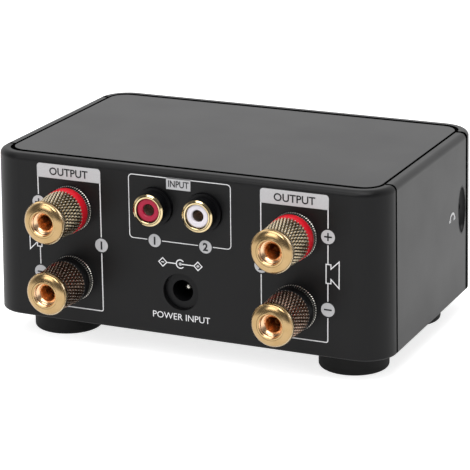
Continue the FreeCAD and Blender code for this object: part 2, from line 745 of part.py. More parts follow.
def phono_contact():
    """The centre contact: a tube that a phono plug's pin enters."""
    front = PHONO_PROUD - PHONO_INSULATOR_SINK - PHONO_MOUTH_THICKNESS
    back = front - PHONO_PIN_DEPTH
    outer = PHONO_PIN_RADIUS + PHONO_CONTACT_WALL
    return turned([(back - PHONO_CONTACT_WALL, 0.0), (back - PHONO_CONTACT_WALL, outer), (front, outer),
                   (front, PHONO_PIN_RADIUS), (back, PHONO_PIN_RADIUS), (back, 0.0)])


def inlet_body():
    """The power inlet: a square housing with a round nose that shows in the rear face."""
    face = -INLET_SINK
    root = face - INLET_NOSE_LENGTH
    nose_radius = INLET_HOLE - INLET_NOSE_GAP
    nose = turned([(root, 0.0), (root, nose_radius), (face, nose_radius), (face, 0.0)])
    nose = outward_at(nose, 0.0, INLET_Z)
    front = BACK_INSIDE - PART_GAP
    half = INLET_BODY_WIDTH / 2
    housing = block(-half, half, front - INLET_BODY_DEPTH, front, MAIN_TOP, INLET_Z + INLET_BODY_ABOVE)
    whole = union([housing, nose])
    bottom = REAR - INLET_SINK - INLET_BORE_DEPTH
    return whole.cut(rod_y(0.0, INLET_Z, INLET_BORE, bottom, REAR))


def inlet_pin():
    """The centre pin of the power inlet, with a rounded tip, rooted in the housing's floor."""
    bottom = -INLET_SINK - INLET_BORE_DEPTH
    tip = -INLET_SINK - INLET_PIN_SINK
    bend = INLET_PIN * math.sqrt(0.5)
    pin = turned([(bottom, 0.0), (bottom, INLET_PIN), (tip - INLET_PIN, INLET_PIN),
                  (tip - INLET_PIN + bend, bend, tip, 0.0)])
    return outward_at(pin, 0.0, INLET_Z)


def main_screw_places():
    """Two screws at the board's front corners and two near its rear edge."""
    front_x = MAIN_HALF_WIDTH - MAIN_SCREW_INSET
    front_y = MAIN_FRONT + MAIN_SCREW_INSET
    rear_y = MAIN_REAR - MAIN_SCREW_INSET
    return [(front_x, front_y), (-front_x, front_y), (MAIN_SCREW_REAR_X, rear_y), (-MAIN_SCREW_REAR_X, rear_y)]


def input_spacer_places():
    return [(INPUT_SPACER_X, INPUT_SPACER_Y), (-INPUT_SPACER_X, INPUT_SPACER_Y)]


def main_board():
    """The main board, with a tongue that reaches the rear face between the posts."""
    board = block(-MAIN_HALF_WIDTH, MAIN_HALF_WIDTH, MAIN_FRONT, MAIN_REAR, MAIN_BOTTOM, MAIN_TOP)
    tongue = block(-MAIN_TONGUE_HALF, MAIN_TONGUE_HALF, MAIN_REAR, BOARD_REAR, MAIN_BOTTOM, MAIN_TOP)
    board = union([board, tongue])
    hole = BOARD_SCREW_RADIUS + SCREW_CLEARANCE
    for x, y in main_screw_places():
        board = board.cut(rod_z(x, y, hole, MAIN_BOTTOM - CUT_PAST, MAIN_TOP + CUT_PAST))
    return board


def standoff(x, y):
    """A spacer under the main board, rooted in the sleeve's floor."""
    root = rod_z(x, y, SCREW_RADIUS - THREAD_CLEARANCE, STANDOFF_ROOT, FLOOR_TOP)
    barrel = rod_z(x, y, STANDOFF_RADIUS, FLOOR_TOP, MAIN_BOTTOM)
    hole = rod_z(x, y, BOARD_SCREW_RADIUS + THREAD_CLEARANCE, FLOOR_TOP + STANDOFF_FLOOR,
                 MAIN_BOTTOM + CUT_PAST)
    return union([root, barrel]).cut(hole)


def board_screw(x, y, under_head):
    """A small screw with a slotted pan head. It goes through a board into a spacer."""
    tip = under_head - BOARD_THICKNESS - BOARD_SCREW_BITE
    head = rod_z(x, y, BOARD_HEAD_RADIUS, under_head, under_head + BOARD_HEAD_HEIGHT)
    shank = rod_z(x, y, BOARD_SCREW_RADIUS, tip, under_head)
    top = under_head + BOARD_HEAD_HEIGHT
    half = SLOT_WIDTH / 2
    slot = block(x - BOARD_HEAD_RADIUS, x + BOARD_HEAD_RADIUS, y - half, y + half, top - SLOT_DEPTH, top)
    return head.fuse(shank).removeSplitter().cut(slot)


def board_screws():
    """All screws of the main board and of the input board's spacers."""
    screws = [board_screw(x, y, MAIN_TOP) for x, y in main_screw_places()]
    return screws + [board_screw(x, y, INPUT_TOP) for x, y in input_spacer_places()]


def input_board():
    """The raised board that carries the phono sockets."""
    board = block(-INPUT_HALF_WIDTH, INPUT_HALF_WIDTH, INPUT_FRONT, BOARD_REAR, INPUT_BOTTOM, INPUT_TOP)
    hole = BOARD_SCREW_RADIUS + SCREW_CLEARANCE
    for x, y in input_spacer_places():
        board = board.cut(rod_z(x, y, hole, INPUT_BOTTOM - CUT_PAST, INPUT_TOP + CUT_PAST))
    return board


def input_spacer(x, y):
    """A tall brass spacer between the two boards."""
    barrel = rod_z(x, y, INPUT_SPACER_RADIUS, MAIN_TOP, INPUT_BOTTOM)
    bottom = INPUT_BOTTOM - BOARD_SCREW_BITE - CUT_PAST
    return barrel.cut(rod_z(x, y, BOARD_SCREW_RADIUS + THREAD_CLEARANCE, bottom, INPUT_BOTTOM))


def input_header():
    """The row of pins in two plastic strips that joins the two boards."""
    y = INPUT_FRONT + HEADER_SETBACK
    end = HEADER_X + HEADER_PINS * HEADER_PITCH
    half = HEADER_WIDTH / 2
    pieces = [block(HEADER_X, end, y - half, y + half, MAIN_TOP, MAIN_TOP + HEADER_WIDTH),
              block(HEADER_X, end, y - half, y + half, INPUT_BOTTOM - HEADER_WIDTH, INPUT_BOTTOM)]
    pin = HEADER_PIN / 2
    for k in range(HEADER_PINS):
        x = HEADER_X + (k + 0.5) * HEADER_PITCH
        pieces.append(block(x - pin, x + pin, y - pin, y + pin, MAIN_TOP, INPUT_BOTTOM))
    return union(pieces)


def amp_chip():
    width, length, height = CHIP_SIZE
    return block(-width / 2, width / 2, CHIP_Y - length / 2, CHIP_Y + length / 2, MAIN_TOP, MAIN_TOP + height)


def heat_sink():
    """The finned heat sink on the amplifier chip."""
    bottom = MAIN_TOP + CHIP_SIZE[2]
    y0 = CHIP_Y - SINK_LENGTH / 2
    y1 = CHIP_Y + SINK_LENGTH / 2
    pieces = [block(-SINK_WIDTH / 2, SINK_WIDTH / 2, y0, y1, bottom, bottom + SINK_BASE)]
    pitch = (SINK_WIDTH - SINK_FIN) / (SINK_FINS - 1)
    for k in range(SINK_FINS):
        x = -SINK_WIDTH / 2 + k * pitch
        pieces.append(block(x, x + SINK_FIN, y0, y1, bottom, bottom + SINK_HEIGHT))
    return union(pieces)


def capacitor_can(place):
    """An upright electrolytic capacitor with a rolled groove, in a row along the board's side."""
    x = MAIN_HALF_WIDTH - CAN_INSET
    y = MAIN_FRONT + CAN_SETBACK + place * CAN_PITCH
    can = rod_z(x, y, CAN_RADIUS, MAIN_TOP, MAIN_TOP + CAN_HEIGHT)
    return can.cut(Part.makeTorus(CAN_RADIUS, CAN_GROOVE, Vector(x, y, MAIN_TOP + CAN_GROOVE_HEIGHT)))


def choke(column, row):
    """A shielded output choke with bevelled edges, in a square group."""
    x = CHOKE_INSET - MAIN_HALF_WIDTH + column * CHOKE_PITCH
    y = MAIN_FRONT + CHOKE_SETBACK + row * CHOKE_PITCH
    half = CHOKE_SIDE / 2
    body = block(x - half, x + half, y - half, y + half, MAIN_TOP, MAIN_TOP + CHOKE_HEIGHT)
    return body.makeChamfer(CHOKE_BEVEL, edges_along_height(body))


def film_capacitor(place):
    """A film capacitor's box, in a row along the board's rear edge."""
    length, depth, height = FILM_SIZE
    x = FILM_INSET - MAIN_HALF_WIDTH + place * FILM_PITCH
    y = MAIN_REAR - FILM_SETBACK
    return block(x - length / 2, x + length / 2, y - depth / 2, y + depth / 2, MAIN_TOP, MAIN_TOP + height)


def front_board():
    """The upright board behind the front shell."""
    half = HALF_WIDTH - WALL - FRONT_BOARD_SIDE_GAP
    return block(-half, half, FRONT_BOARD_FACE, FRONT_BOARD_BACK, FRONT_BOARD_BOTTOM,
                 DECK_BOTTOM - FRONT_BOARD_DROP)


def front_header():
    """The angled connector between the front board and the main board."""
    return block(-ANGLE_HEADER_HALF, ANGLE_HEADER_HALF, FRONT_BOARD_BACK, MAIN_FRONT + ANGLE_HEADER_OVERLAP,
                 MAIN_TOP, FRONT_BOARD_BOTTOM + ANGLE_HEADER_RISE)


def pot_body():
    """The volume control's case, its frame on the front board and its bush through the shell."""
    pot_back = POT_FRONT + POT_DEPTH
    can = rod_y(KNOB_X, CONTROL_Z, POT_RADIUS, POT_FRONT, pot_back)
    half = POT_FRAME_WIDTH / 2
    rise = POT_FRAME_HEIGHT / 2
    frame = block(KNOB_X - half, KNOB_X + half, pot_back - POT_FLOOR, FRONT_BOARD_FACE,
                  CONTROL_Z - rise, CONTROL_Z + rise)
    bush = rod_y(KNOB_X, CONTROL_Z, BUSH_RADIUS, FRONT - BUSH_PROUD, pot_back - POT_FLOOR)
    bore = rod_y(KNOB_X, CONTROL_Z, SHAFT_RADIUS + SHAFT_FIT, FRONT - BUSH_PROUD, pot_back - POT_FLOOR)
    return union([can, frame, bush]).cut(bore)


def pot_nut():
    """The washer and the nut that hold the volume control, under the knob."""
    washer_front = FRONT - POT_WASHER_THICKNESS
    nut_front = washer_front - POT_NUT_THICKNESS
    washer = rod_y(KNOB_X, CONTROL_Z, POT_WASHER_RADIUS, washer_front, FRONT)
    nut = hexagon_y(KNOB_X, CONTROL_Z, POT_NUT_FLATS, nut_front, washer_front)
    hole = rod_y(KNOB_X, CONTROL_Z, BUSH_RADIUS + THREAD_CLEARANCE, nut_front - CUT_PAST, FRONT)
    return union([washer, nut]).cut(hole)


def volume_shaft():
    """The control's shaft, from the middle of its case into the knob."""
    inner = POT_FRONT + POT_DEPTH - POT_FLOOR - SHAFT_END_GAP
    return rod_y(KNOB_X, CONTROL_Z, SHAFT_RADIUS, FRONT - SHAFT_LENGTH, inner)


def volume_knob():
    """The volume knob, turned about its own axis, with a mark milled across its face."""
    back = KNOB_STANDOFF
    face = KNOB_PROUD
    bend = KNOB_EDGE * (1 - math.sqrt(0.5))
    hollow = back + KNOB_HOLLOW_DEPTH
    knob = turned([(back, KNOB_HOLLOW_RADIUS), (back, KNOB_RADIUS - KNOB_BACK_BEVEL),
                   (back + KNOB_BACK_BEVEL, KNOB_RADIUS),
                   (face - KNOB_EDGE, KNOB_RADIUS),
                   (face - bend, KNOB_RADIUS - bend, face, KNOB_RADIUS - KNOB_EDGE),
                   (face, 0.0), (SHAFT_LENGTH, 0.0), (SHAFT_LENGTH, SHAFT_RADIUS),
                   (hollow, SHAFT_RADIUS), (hollow, KNOB_HOLLOW_RADIUS)])
    half = KNOB_MARK_WIDTH / 2
    mark = block(-half, half, face - KNOB_MARK_DEPTH, face, KNOB_MARK_START, KNOB_RADIUS)
    knob = knob.cut(mark)
    knob.rotate(Vector(0, 0, 0), Vector(0, 0, 1), 180)
    knob.translate(Vector(KNOB_X, FRONT, CONTROL_Z))
    return knob


def power_button():
    """The power button: a domed cap, a collar behind the shell and a plunger."""
    collar = -WALL - BUTTON_FREE
    tip = FRONT - SWITCH_FRONT - PLUNGER_DEPTH
    section = [(tip, 0.0), (tip, PLUNGER_RADIUS),
               (collar - BUTTON_COLLAR, PLUNGER_RADIUS), (collar - BUTTON_COLLAR, BUTTON_COLLAR_RADIUS),
               (collar, BUTTON_COLLAR_RADIUS), (collar, BUTTON_RADIUS),
               (BUTTON_PROUD - BUTTON_BEVEL, BUTTON_RADIUS), (BUTTON_PROUD, BUTTON_RADIUS - BUTTON_BEVEL),
               (BUTTON_PROUD - BUTTON_DISH, 0.0)]
    button = turned(section)
    button.rotate(Vector(0, 0, 0), Vector(0, 0, 1), 180)
    button.translate(Vector(BUTTON_X, FRONT, CONTROL_Z))
    return button


def power_switch():
    """The latching switch's housing on the front board."""
    half = SWITCH_SIDE / 2
    housing = block(BUTTON_X - half, BUTTON_X + half, SWITCH_FRONT, FRONT_BOARD_FACE,
                    CONTROL_Z - half, CONTROL_Z + half)
    depth = SWITCH_FRONT + PLUNGER_DEPTH + BUTTON_TRAVEL + BUTTON_FREE
    return housing.cut(rod_y(BUTTON_X, CONTROL_Z, PLUNGER_RADIUS + PLUNGER_FIT, SWITCH_FRONT, depth))


def power_lamp():
    """The lamp: a round lens with a flange behind the shell and two legs to the board."""
    bend = LAMP_RADIUS * math.sqrt(0.5)
    flange = -WALL - PART_GAP
    lens = turned([(flange - LAMP_LENGTH, 0.0), (flange - LAMP_LENGTH, LAMP_FLANGE), (flange, LAMP_FLANGE),
                   (flange, LAMP_RADIUS), (LAMP_PROUD - LAMP_RADIUS, LAMP_RADIUS),
                   (LAMP_PROUD - LAMP_RADIUS + bend, bend, LAMP_PROUD, 0.0)])
    lens.rotate(Vector(0, 0, 0), Vector(0, 0, 1), 180)
    lens.translate(Vector(LAMP_X, FRONT, CONTROL_Z))
    pieces = [lens]
    back = POT_FRONT + LAMP_LENGTH
    half = LAMP_LEG / 2
    for side in (1, -1):
        x = LAMP_X + side * LAMP_LEG_PITCH / 2
        pieces.append(block(x - half, x + half, back, FRONT_BOARD_FACE, CONTROL_Z - half, CONTROL_Z + half))
    return union(pieces)


def headphone_cup():
    """The oval cup set into the side wall, with a dished face and a hole for the plug."""
    wall_face = -half_width(CUP_Z)
    inner_face = wall_face + WALL
    cup = cup_oval(0.0, wall_face - CUT_PAST, inner_face + CUP_FLANGE_THICKNESS)
    cup = cup.common(outer_form())
    flange = cup_oval(CUP_FLANGE, wall_face, inner_face + CUP_FLANGE_THICKNESS).common(inner_form(CUP_WALL_FIT))
    cup = union([cup, flange])
    dish = Part.makeSphere(1.0)
    scale = Matrix()
    scale.scale(Vector(CUP_DEPTH, CUP_HALF_LENGTH - CUP_RIM, CUP_HALF_HEIGHT - CUP_RIM))
    dish = dish.transformGeometry(scale)
    dish.translate(Vector(wall_face, CUP_Y, CUP_Z))
    hole = rod_x(CUP_Y, CUP_Z, CUP_HOLE, wall_face, inner_face + CUP_FLANGE_THICKNESS)
    return cup.cut(dish).cut(hole)


def phones_start():
    """Where the headphone socket's housing starts, along X."""
    return -half_width(CUP_Z) + WALL + CUP_FLANGE_THICKNESS + PART_GAP


def phones_jack():
    """The headphone socket's housing behind the cup, on the front board."""
    start = phones_start()
    half = PHONES_BODY_HALF_HEIGHT
    housing = block(start, start + PHONES_BODY_LENGTH, FRONT_BOARD_FACE - PHONES_BODY_SIDE,
                    FRONT_BOARD_FACE, CUP_Z - half, CUP_Z + half)
    return housing.cut(rod_x(CUP_Y, CUP_Z, PHONES_BORE, start, start + PHONES_BORE_DEPTH))


def phones_leaves():
    """The three contact leaves, folded over the top of the headphone socket."""
    start = phones_start()
    leaves = []
    top = CUP_Z + PHONES_BODY_HALF_HEIGHT
    for k in range(LEAF_COUNT):
        x = start + LEAF_START + k * LEAF_PITCH
        strap = block(x, x + LEAF_WIDTH, FRONT_BOARD_FACE - LEAF_REACH, FRONT_BOARD_FACE,
                      top, top + LEAF_THICKNESS)
        foot_pad = block(x, x + LEAF_WIDTH, FRONT_BOARD_FACE - LEAF_THICKNESS, FRONT_BOARD_FACE,
                         top, top + LEAF_PAD)
        leaves.append(union([strap, foot_pad]))
    return leaves


def build_nodes():
    """Every node's name with its shape or its list of separate shapes."""
    nodes = {
        "case_sleeve": case_sleeve(),
        "top_plate": top_plate(),
        "rear_shell": rear_shell(),
        "front_shell": front_shell(),
        "foot_screws": [foot_screw(x, y) for x, y in FEET.values()],
        "post_washers": [post_washer(x, z) for x, z in POSTS.values()],
        "post_hex_nuts": [post_hex_nut(x, z) for x, z in POSTS.values()],
        "speaker_tags": [speaker_tag(x, z) for x, z in POSTS.values()],
        "phono_block": phono_block(),
        "phono_contacts": [outward_at(phono_contact(), x, PHONO_Z) for x in PHONOS.values()],
        "inlet_body": inlet_body(),
        "inlet_pin": inlet_pin(),
        "main_board": main_board(),
        "board_standoffs": [standoff(x, y) for x, y in main_screw_places()],
        "board_screws": board_screws(),
        "input_board": input_board(),
        "input_spacers": [input_spacer(x, y) for x, y in input_spacer_places()],
        "input_header": input_header(),
        "amp_chip": amp_chip(),
        "heat_sink": heat_sink(),
        "reservoir_capacitors": [capacitor_can(k) for k in range(CAN_COUNT)],
        "output_chokes": [choke(i, j) for i in range(CHOKE_COUNT) for j in range(CHOKE_COUNT)],
        "film_capacitors": [film_capacitor(k) for k in range(FILM_COUNT)],
        "front_board": front_board(),
        "front_header": front_header(),
        "volume_pot": pot_body(),
        "volume_nut": pot_nut(),
        "volume_shaft": volume_shaft(),
        "volume_knob": volume_knob(),
        "power_button": power_button(),
        "power_switch": power_switch(),
        "power_lamp": power_lamp(),
        "headphone_cup": headphone_cup(),
        "headphone_jack": phones_jack(),
        "headphone_contacts": phones_leaves(),
    }
    for name, (x, y) in FEET.items():
        nodes[name] = foot(x, y)
    for name, (x, z) in POSTS.items():
        nodes[name + "_stud"] = outward_at(post_stud(), x, z)
        nodes[name + "_base"] = outward_at(post_base(), x, z)
        nodes[name + "_ring"] = outward_at(post_ring(), x, z)
        nodes[name + "_nut"] = outward_at(post_nut(), x, z)
    for name, x in PHONOS.items():
        nodes[name + "_shell"] = outward_at(phono_shell(), x, PHONO_Z)
        nodes[name + "_insulator"] = outward_at(phono_insulator(), x, PHONO_Z)
    return nodes


os.makedirs("parts", exist_ok=True)
for node_name, shape in build_nodes().items():
    if isinstance(shape, list):
        shape = Part.makeCompound(shape)
    shape.exportStep(os.path.join("parts", node_name + ".step"))
    print(node_name, len(shape.Solids), "solids, valid", shape.isValid(), "volume", round(shape.Volume, 1))
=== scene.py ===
import json
import math

import bmesh
import bpy
from mathutils import Matrix, Vector


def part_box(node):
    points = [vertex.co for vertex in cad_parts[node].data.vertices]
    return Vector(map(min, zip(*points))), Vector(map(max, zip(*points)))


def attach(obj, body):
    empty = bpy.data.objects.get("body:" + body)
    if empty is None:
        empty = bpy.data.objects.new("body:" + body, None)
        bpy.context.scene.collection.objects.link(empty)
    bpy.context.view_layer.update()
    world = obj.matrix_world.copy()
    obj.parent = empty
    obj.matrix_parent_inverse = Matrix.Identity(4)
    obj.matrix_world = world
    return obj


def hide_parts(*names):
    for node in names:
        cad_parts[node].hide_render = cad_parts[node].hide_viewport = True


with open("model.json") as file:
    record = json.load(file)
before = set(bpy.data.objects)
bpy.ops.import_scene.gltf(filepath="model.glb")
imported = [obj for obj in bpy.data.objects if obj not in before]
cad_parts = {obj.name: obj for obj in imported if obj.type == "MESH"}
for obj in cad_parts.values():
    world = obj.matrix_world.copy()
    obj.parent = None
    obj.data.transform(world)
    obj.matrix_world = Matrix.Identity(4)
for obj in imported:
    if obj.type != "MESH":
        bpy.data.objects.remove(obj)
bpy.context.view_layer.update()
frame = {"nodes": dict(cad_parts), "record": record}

# Lengths are in millimetres and become metres when a mesh is made.
MM = 0.001
FULL_TURN = 2 * math.pi
# A wave texture of scale 1 repeats every WAVE metres.
WAVE = FULL_TURN / 20


def middle(node):
    """The middle of a node's box, in millimetres."""
    low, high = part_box(node)
    return (Vector(low) + Vector(high)) / 2 / MM


def reach(node, axis):
    """A node's lowest and highest place along one axis, in millimetres."""
    low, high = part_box(node)
    return low[axis] / MM, high[axis] / MM


REAR = reach("rear_shell", 1)[1]
FRONT = reach("front_shell", 1)[0]
CASE_BASE, CASE_TOP = reach("case_sleeve", 2)

# ---- Camera: a long lens, a little above and to one side of the rear face
scene = bpy.context.scene
camera_data = bpy.data.cameras.new("camera")
camera_data.sensor_width = 36.0
camera_data.lens = 177.91
camera_data.clip_start = 0.01
camera = bpy.data.objects.new("camera", camera_data)
yaw, pitch, roll = math.radians(24.09), math.radians(17.35), math.radians(-0.59)
back = Vector((-math.sin(yaw) * math.cos(pitch), math.cos(yaw) * math.cos(pitch), math.sin(pitch)))
level_right = Vector((0, 0, 1)).cross(back).normalized()
level_up = back.cross(level_right)
right = math.cos(roll) * level_right + math.sin(roll) * level_up
up = math.cos(roll) * level_up - math.sin(roll) * level_right
camera_place = Matrix.Translation((-0.24422, 0.54805, 0.21176))
camera.matrix_world = camera_place @ Matrix((right, up, back)).transposed().to_4x4()
scene.collection.objects.link(camera)
scene.camera = camera
scene.view_settings.view_transform = "Standard"


# ---- Materials
def linear(code):
    """An sRGB hex colour as linear RGBA."""
    channels = [int(code[i:i + 2], 16) / 255 for i in (1, 3, 5)]
    return [c / 12.92 if c <= 0.04045 else ((c + 0.055) / 1.055) ** 2.4 for c in channels] + [1.0]


def put(tree, kind, sockets=None, **settings):
    """Adds a node with its settings. A socket takes a value or another node's output."""
    made = tree.nodes.new(kind)
    for name, value in settings.items():
        setattr(made, name, value)
    for name, value in (sockets or {}).items():
        if isinstance(value, bpy.types.NodeSocket):
            tree.links.new(value, made.inputs[name])
        else:
            made.inputs[name].default_value = value
    return made


def material(name, **sockets):
    """A new material with one Principled shader.

    Returns the material, its tree, the shader and the places on the object, which patterns follow.
    """
    made = bpy.data.materials.new(name)
    made.use_nodes = True
    tree = made.node_tree
    shader = tree.nodes["Principled BSDF"]
    for socket, value in sockets.items():
        shader.inputs[socket.replace("_", " ")].default_value = value
    place = tree.nodes.new("ShaderNodeTexCoord").outputs["Object"]
    return made, tree, shader, place


def shade(tree, shader, factor, dark, light):
    """Base colour between two hex colours, by a factor between 0 and 1."""
    mix = put(tree, "ShaderNodeMix", {0: factor, 6: linear(dark), 7: linear(light)}, data_type="RGBA")
    tree.links.new(mix.outputs[2], shader.inputs["Base Color"])


def gloss(tree, shader, factor, smooth, rough):
    """Roughness between two values, by a factor between 0 and 1."""
    spread = put(tree, "ShaderNodeMapRange", {"Value": factor, "To Min": smooth, "To Max": rough})
    tree.links.new(spread.outputs[0], shader.inputs["Roughness"])


def relief(tree, shader, height, depth):
    """Bump from a height between 0 and 1, with its depth in millimetres."""
    bump = put(tree, "ShaderNodeBump", {"Height": height, "Strength": 1.0, "Distance": depth * MM})
    tree.links.new(bump.outputs[0], shader.inputs["Normal"])


def grain(tree, place, size, detail=2.0):
    """Noise whose lumps are about size millimetres across."""
    noise = put(tree, "ShaderNodeTexNoise", {"Vector": place, "Scale": 1 / (size * MM), "Detail": detail})
    return noise.outputs[0]


def anodised_case(name, level):
    """Black anodised aluminium, bead blasted. A satin skin with a fine grain and faint cloudy gloss."""
    made, tree, shader, place = material(name, Specular_IOR_Level=level)
    fine = grain(tree, place, 0.30)
    clouds = grain(tree, place, 14.0)
    shade(tree, shader, clouds, "#0d0d0e", "#131314")
    gloss(tree, shader, clouds, 0.34, 0.44)
    relief(tree, shader, fine, 0.006)
    return made


def anodised_plate():
    """The same finish on rolled sheet: brushed along X before anodising, so its grain is drawn out."""
    made, tree, shader, place = material("anodised_black_brightened_top", Specular_IOR_Level=0.32)
    drawn_out = put(tree, "ShaderNodeMapping", {"Vector": place, "Scale": (0.05, 1.0, 1.0)}).outputs[0]
    lines = grain(tree, drawn_out, 0.35)
    clouds = grain(tree, place, 18.0)
    # A shade lighter than the case's black, with a higher gloss level: painted light on the top.
    shade(tree, shader, clouds, "#121213", "#18181a")
    gloss(tree, shader, clouds, 0.32, 0.40)
    relief(tree, shader, lines, 0.004)
    return made


def moulded_rubber():
    """Moulded rubber with a dull skin, mould grain 0.4 mm across and dusty edges."""
    made, tree, shader, place = material("moulded_rubber", Specular_IOR_Level=0.35)
    fine = grain(tree, place, 0.4)
    dust = grain(tree, place, 5.0, 4.0)
    shade(tree, shader, dust, "#0e0e0e", "#191919")
    gloss(tree, shader, dust, 0.62, 0.82)
    relief(tree, shader, fine, 0.03)
    return made


def moulded_plastic(name, dark, light, smooth, rough, size=0.5, **sockets):
    """Injection-moulded plastic: an even colour, a fine spark-eroded skin and slight sink marks."""
    made, tree, shader, place = material(name, **sockets)
    fine = grain(tree, place, size)
    sink = grain(tree, place, 4.0)
    shade(tree, shader, sink, dark, light)
    gloss(tree, shader, sink, smooth, rough)
    relief(tree, shader, fine, 0.008)
    return made


def turned_metal(name, dark, light, smooth, rough, pitch=0.22):
    """Turned metal: rings left by the tool round the piece's own axis, pitch millimetres apart.

    Real ones are about 0.05 mm apart. They are drawn coarser, so that they show.
    """
    made, tree, shader, place = material(name, Metallic=1.0)
    rings = put(tree, "ShaderNodeTexWave", {"Vector": place, "Scale": WAVE / (pitch * MM), "Distortion": 0.4},
                wave_type="RINGS", rings_direction="Y").outputs[1]
    tarnish = grain(tree, place, 2.5, 3.0)
    shade(tree, shader, tarnish, dark, light)
    gloss(tree, shader, tarnish, smooth, rough)
    relief(tree, shader, rings, 0.002)
    return made


def plated_metal(name, dark, light, smooth, rough, size=1.5, metallic=1.0):
    """Plated metal without tool marks: soft variations of tone and gloss. Dull plating is less metallic."""
    made, tree, shader, place = material(name, Metallic=metallic)
    tarnish = grain(tree, place, size, 3.0)
    fine = grain(tree, place, 0.25)
    shade(tree, shader, tarnish, dark, light)
    gloss(tree, shader, tarnish, smooth, rough)
    relief(tree, shader, fine, 0.002)
    return made


def screen_ink(name, dark, light):
    """Screen-printed ink: matt, and a little uneven where the screen left it thin, 0.35 mm a cell."""
    made, tree, shader, place = material(name, Specular_IOR_Level=0.3)
    cells = grain(tree, place, 0.35)
    shade(tree, shader, cells, dark, light)
    gloss(tree, shader, cells, 0.55, 0.75)
    relief(tree, shader, cells, 0.004)
    return made


def circuit_board():
    """Fibreglass board under green solder mask, with copper tracks 0.8 mm wide that show through."""
    made, tree, shader, place = material("solder_mask_board", Coat_Weight=0.3, Coat_Roughness=0.15)
    tracks = put(tree, "ShaderNodeTexBrick",
                 {"Vector": place, "Color1": (1, 1, 1, 1), "Color2": (1, 1, 1, 1), "Mortar": (0, 0, 0, 1),
                  "Scale": 1.0, "Mortar Size": 0.4 * MM, "Mortar Smooth": 0.2, "Brick Width": 5.1 * MM,
                  "Row Height": 2.54 * MM}).outputs[0]
    shade(tree, shader, tracks, "#1f6b3a", "#0f4a28")
    gloss(tree, shader, tracks, 0.30, 0.40)
    relief(tree, shader, tracks, 0.03)
    return made


def extruded_sink():
    """Bare extruded aluminium: silvery with die lines along Y, drawn 0.3 mm apart."""
    made, tree, shader, place = material("extruded_aluminium", Metallic=1.0)
    along = put(tree, "ShaderNodeMapping", {"Vector": place, "Scale": (1.0, 0.03, 1.0)}).outputs[0]
    lines = grain(tree, along, 0.3)
    shade(tree, shader, lines, "#a9abad", "#c6c8ca")
    gloss(tree, shader, lines, 0.32, 0.48)
    relief(tree, shader, lines, 0.01)
    return made


def printed_sleeve():
    """The heat-shrunk sleeve of a capacitor: glossy film with a pale stripe down one side."""
    made, tree, shader, place = material("shrunk_sleeve", Coat_Weight=0.4)
    stripe = put(tree, "ShaderNodeTexWave", {"Vector": place, "Scale": WAVE / (40 * MM), "Distortion": 0.0},
                 bands_direction="X").outputs[1]
    sharp = put(tree, "ShaderNodeMapRange", {"Value": stripe, "From Min": 0.86, "From Max": 0.9}).outputs[0]
    fine = grain(tree, place, 0.6)
    shade(tree, shader, sharp, "#14161c", "#8d949c")
    gloss(tree, shader, fine, 0.28, 0.40)
    relief(tree, shader, fine, 0.01)
    return made


def lamp_lens():
    """A clear epoxy lens, slightly frosted, with a cool tint."""
    made, tree, shader, place = material("frosted_lens", Transmission_Weight=0.6, IOR=1.5)
    frost = grain(tree, place, 0.4)
    shade(tree, shader, frost, "#b9d4ec", "#dcecf8")
    gloss(tree, shader, frost, 0.18, 0.30)
    relief(tree, shader, frost, 0.01)
    return made


# This copy of the anodised finish has the lowest gloss level: painted shade that darkens the rear.
case_black = anodised_case("anodised_black_dimmed", 0.20)
# The sleeve's copy has a higher gloss level: painted light on the top and sides.
brightened_sleeve_black = anodised_case("anodised_black_brightened_sleeve", 0.37)
plate_black = anodised_plate()
rubber_black = moulded_rubber()
gold_cap = turned_metal("turned_gold_plate", "#ab8d5e", "#c2a57b", 0.18, 0.28)
gold_sleeve = plated_metal("gold_plated_sleeve", "#cdb07c", "#ecdcb4", 0.10, 0.18)
# The bores' gold is paler than the cap's: painted light that makes the deep bores read lit inside.
bore_gold_brightened = turned_metal("bored_gold_painted_light", "#eab888", "#f8d8b4", 0.20, 0.34, 0.5)
# The knurl's finishes: near-white tips are painted glints, the slopes are the plated gold, the dark grooves
# painted shade.
pale_knurl = (plated_metal("knurl_tips_painted_glint", "#f8f2e0", "#fffdf6", 0.40, 0.52, metallic=0.65),
              plated_metal("knurl_slopes_pale_gold", "#d2be98", "#eedec2", 0.18, 0.28),
              plated_metal("knurl_grooves_painted_shade", "#2a2216", "#443a28", 0.40, 0.55))
# The lower nuts' knurl is a darker copy of the same gold: painted shade, with its own painted glints and
# shade.
shaded_lower_knurl = (plated_metal("knurl_tips_painted_glint_lower", "#e6dacc", "#fff8f0", 0.44, 0.58, 0.6, 0.7),
               plated_metal("knurl_slopes_painted_shade_gold", "#997a6a", "#e0bea7", 0.20, 0.32, 0.6),
               plated_metal("knurl_grooves_painted_shade_lower", "#2e221b", "#4d392b", 0.40, 0.55))
nickel_and_glints = plated_metal("toothed_nickel_and_glints", "#d0cdc4", "#e8e4da", 0.34, 0.46, metallic=0.85)
nickel = plated_metal("nickel_plated_brass", "#b9b6ae", "#d6d3ca", 0.22, 0.32)
black_nylon = moulded_plastic("black_nylon", "#0a0a0b", "#131314", 0.36, 0.48, Specular_IOR_Level=0.30)
red_ring = moulded_plastic("red_acetal", "#bc0f1e", "#d01a2a", 0.32, 0.44, Subsurface_Weight=0.15,
                           Subsurface_Radius=(0.0012, 0.0003, 0.0002), Specular_IOR_Level=0.30)
black_abs = moulded_plastic("black_abs", "#070708", "#0e0e10", 0.30, 0.42, Specular_IOR_Level=0.17)
red_nylon = moulded_plastic("red_nylon", "#960f30", "#ac183c", 0.30, 0.40, Specular_IOR_Level=0.30)
white_nylon = moulded_plastic("white_nylon", "#d2ccd4", "#dfdae0", 0.34, 0.44)
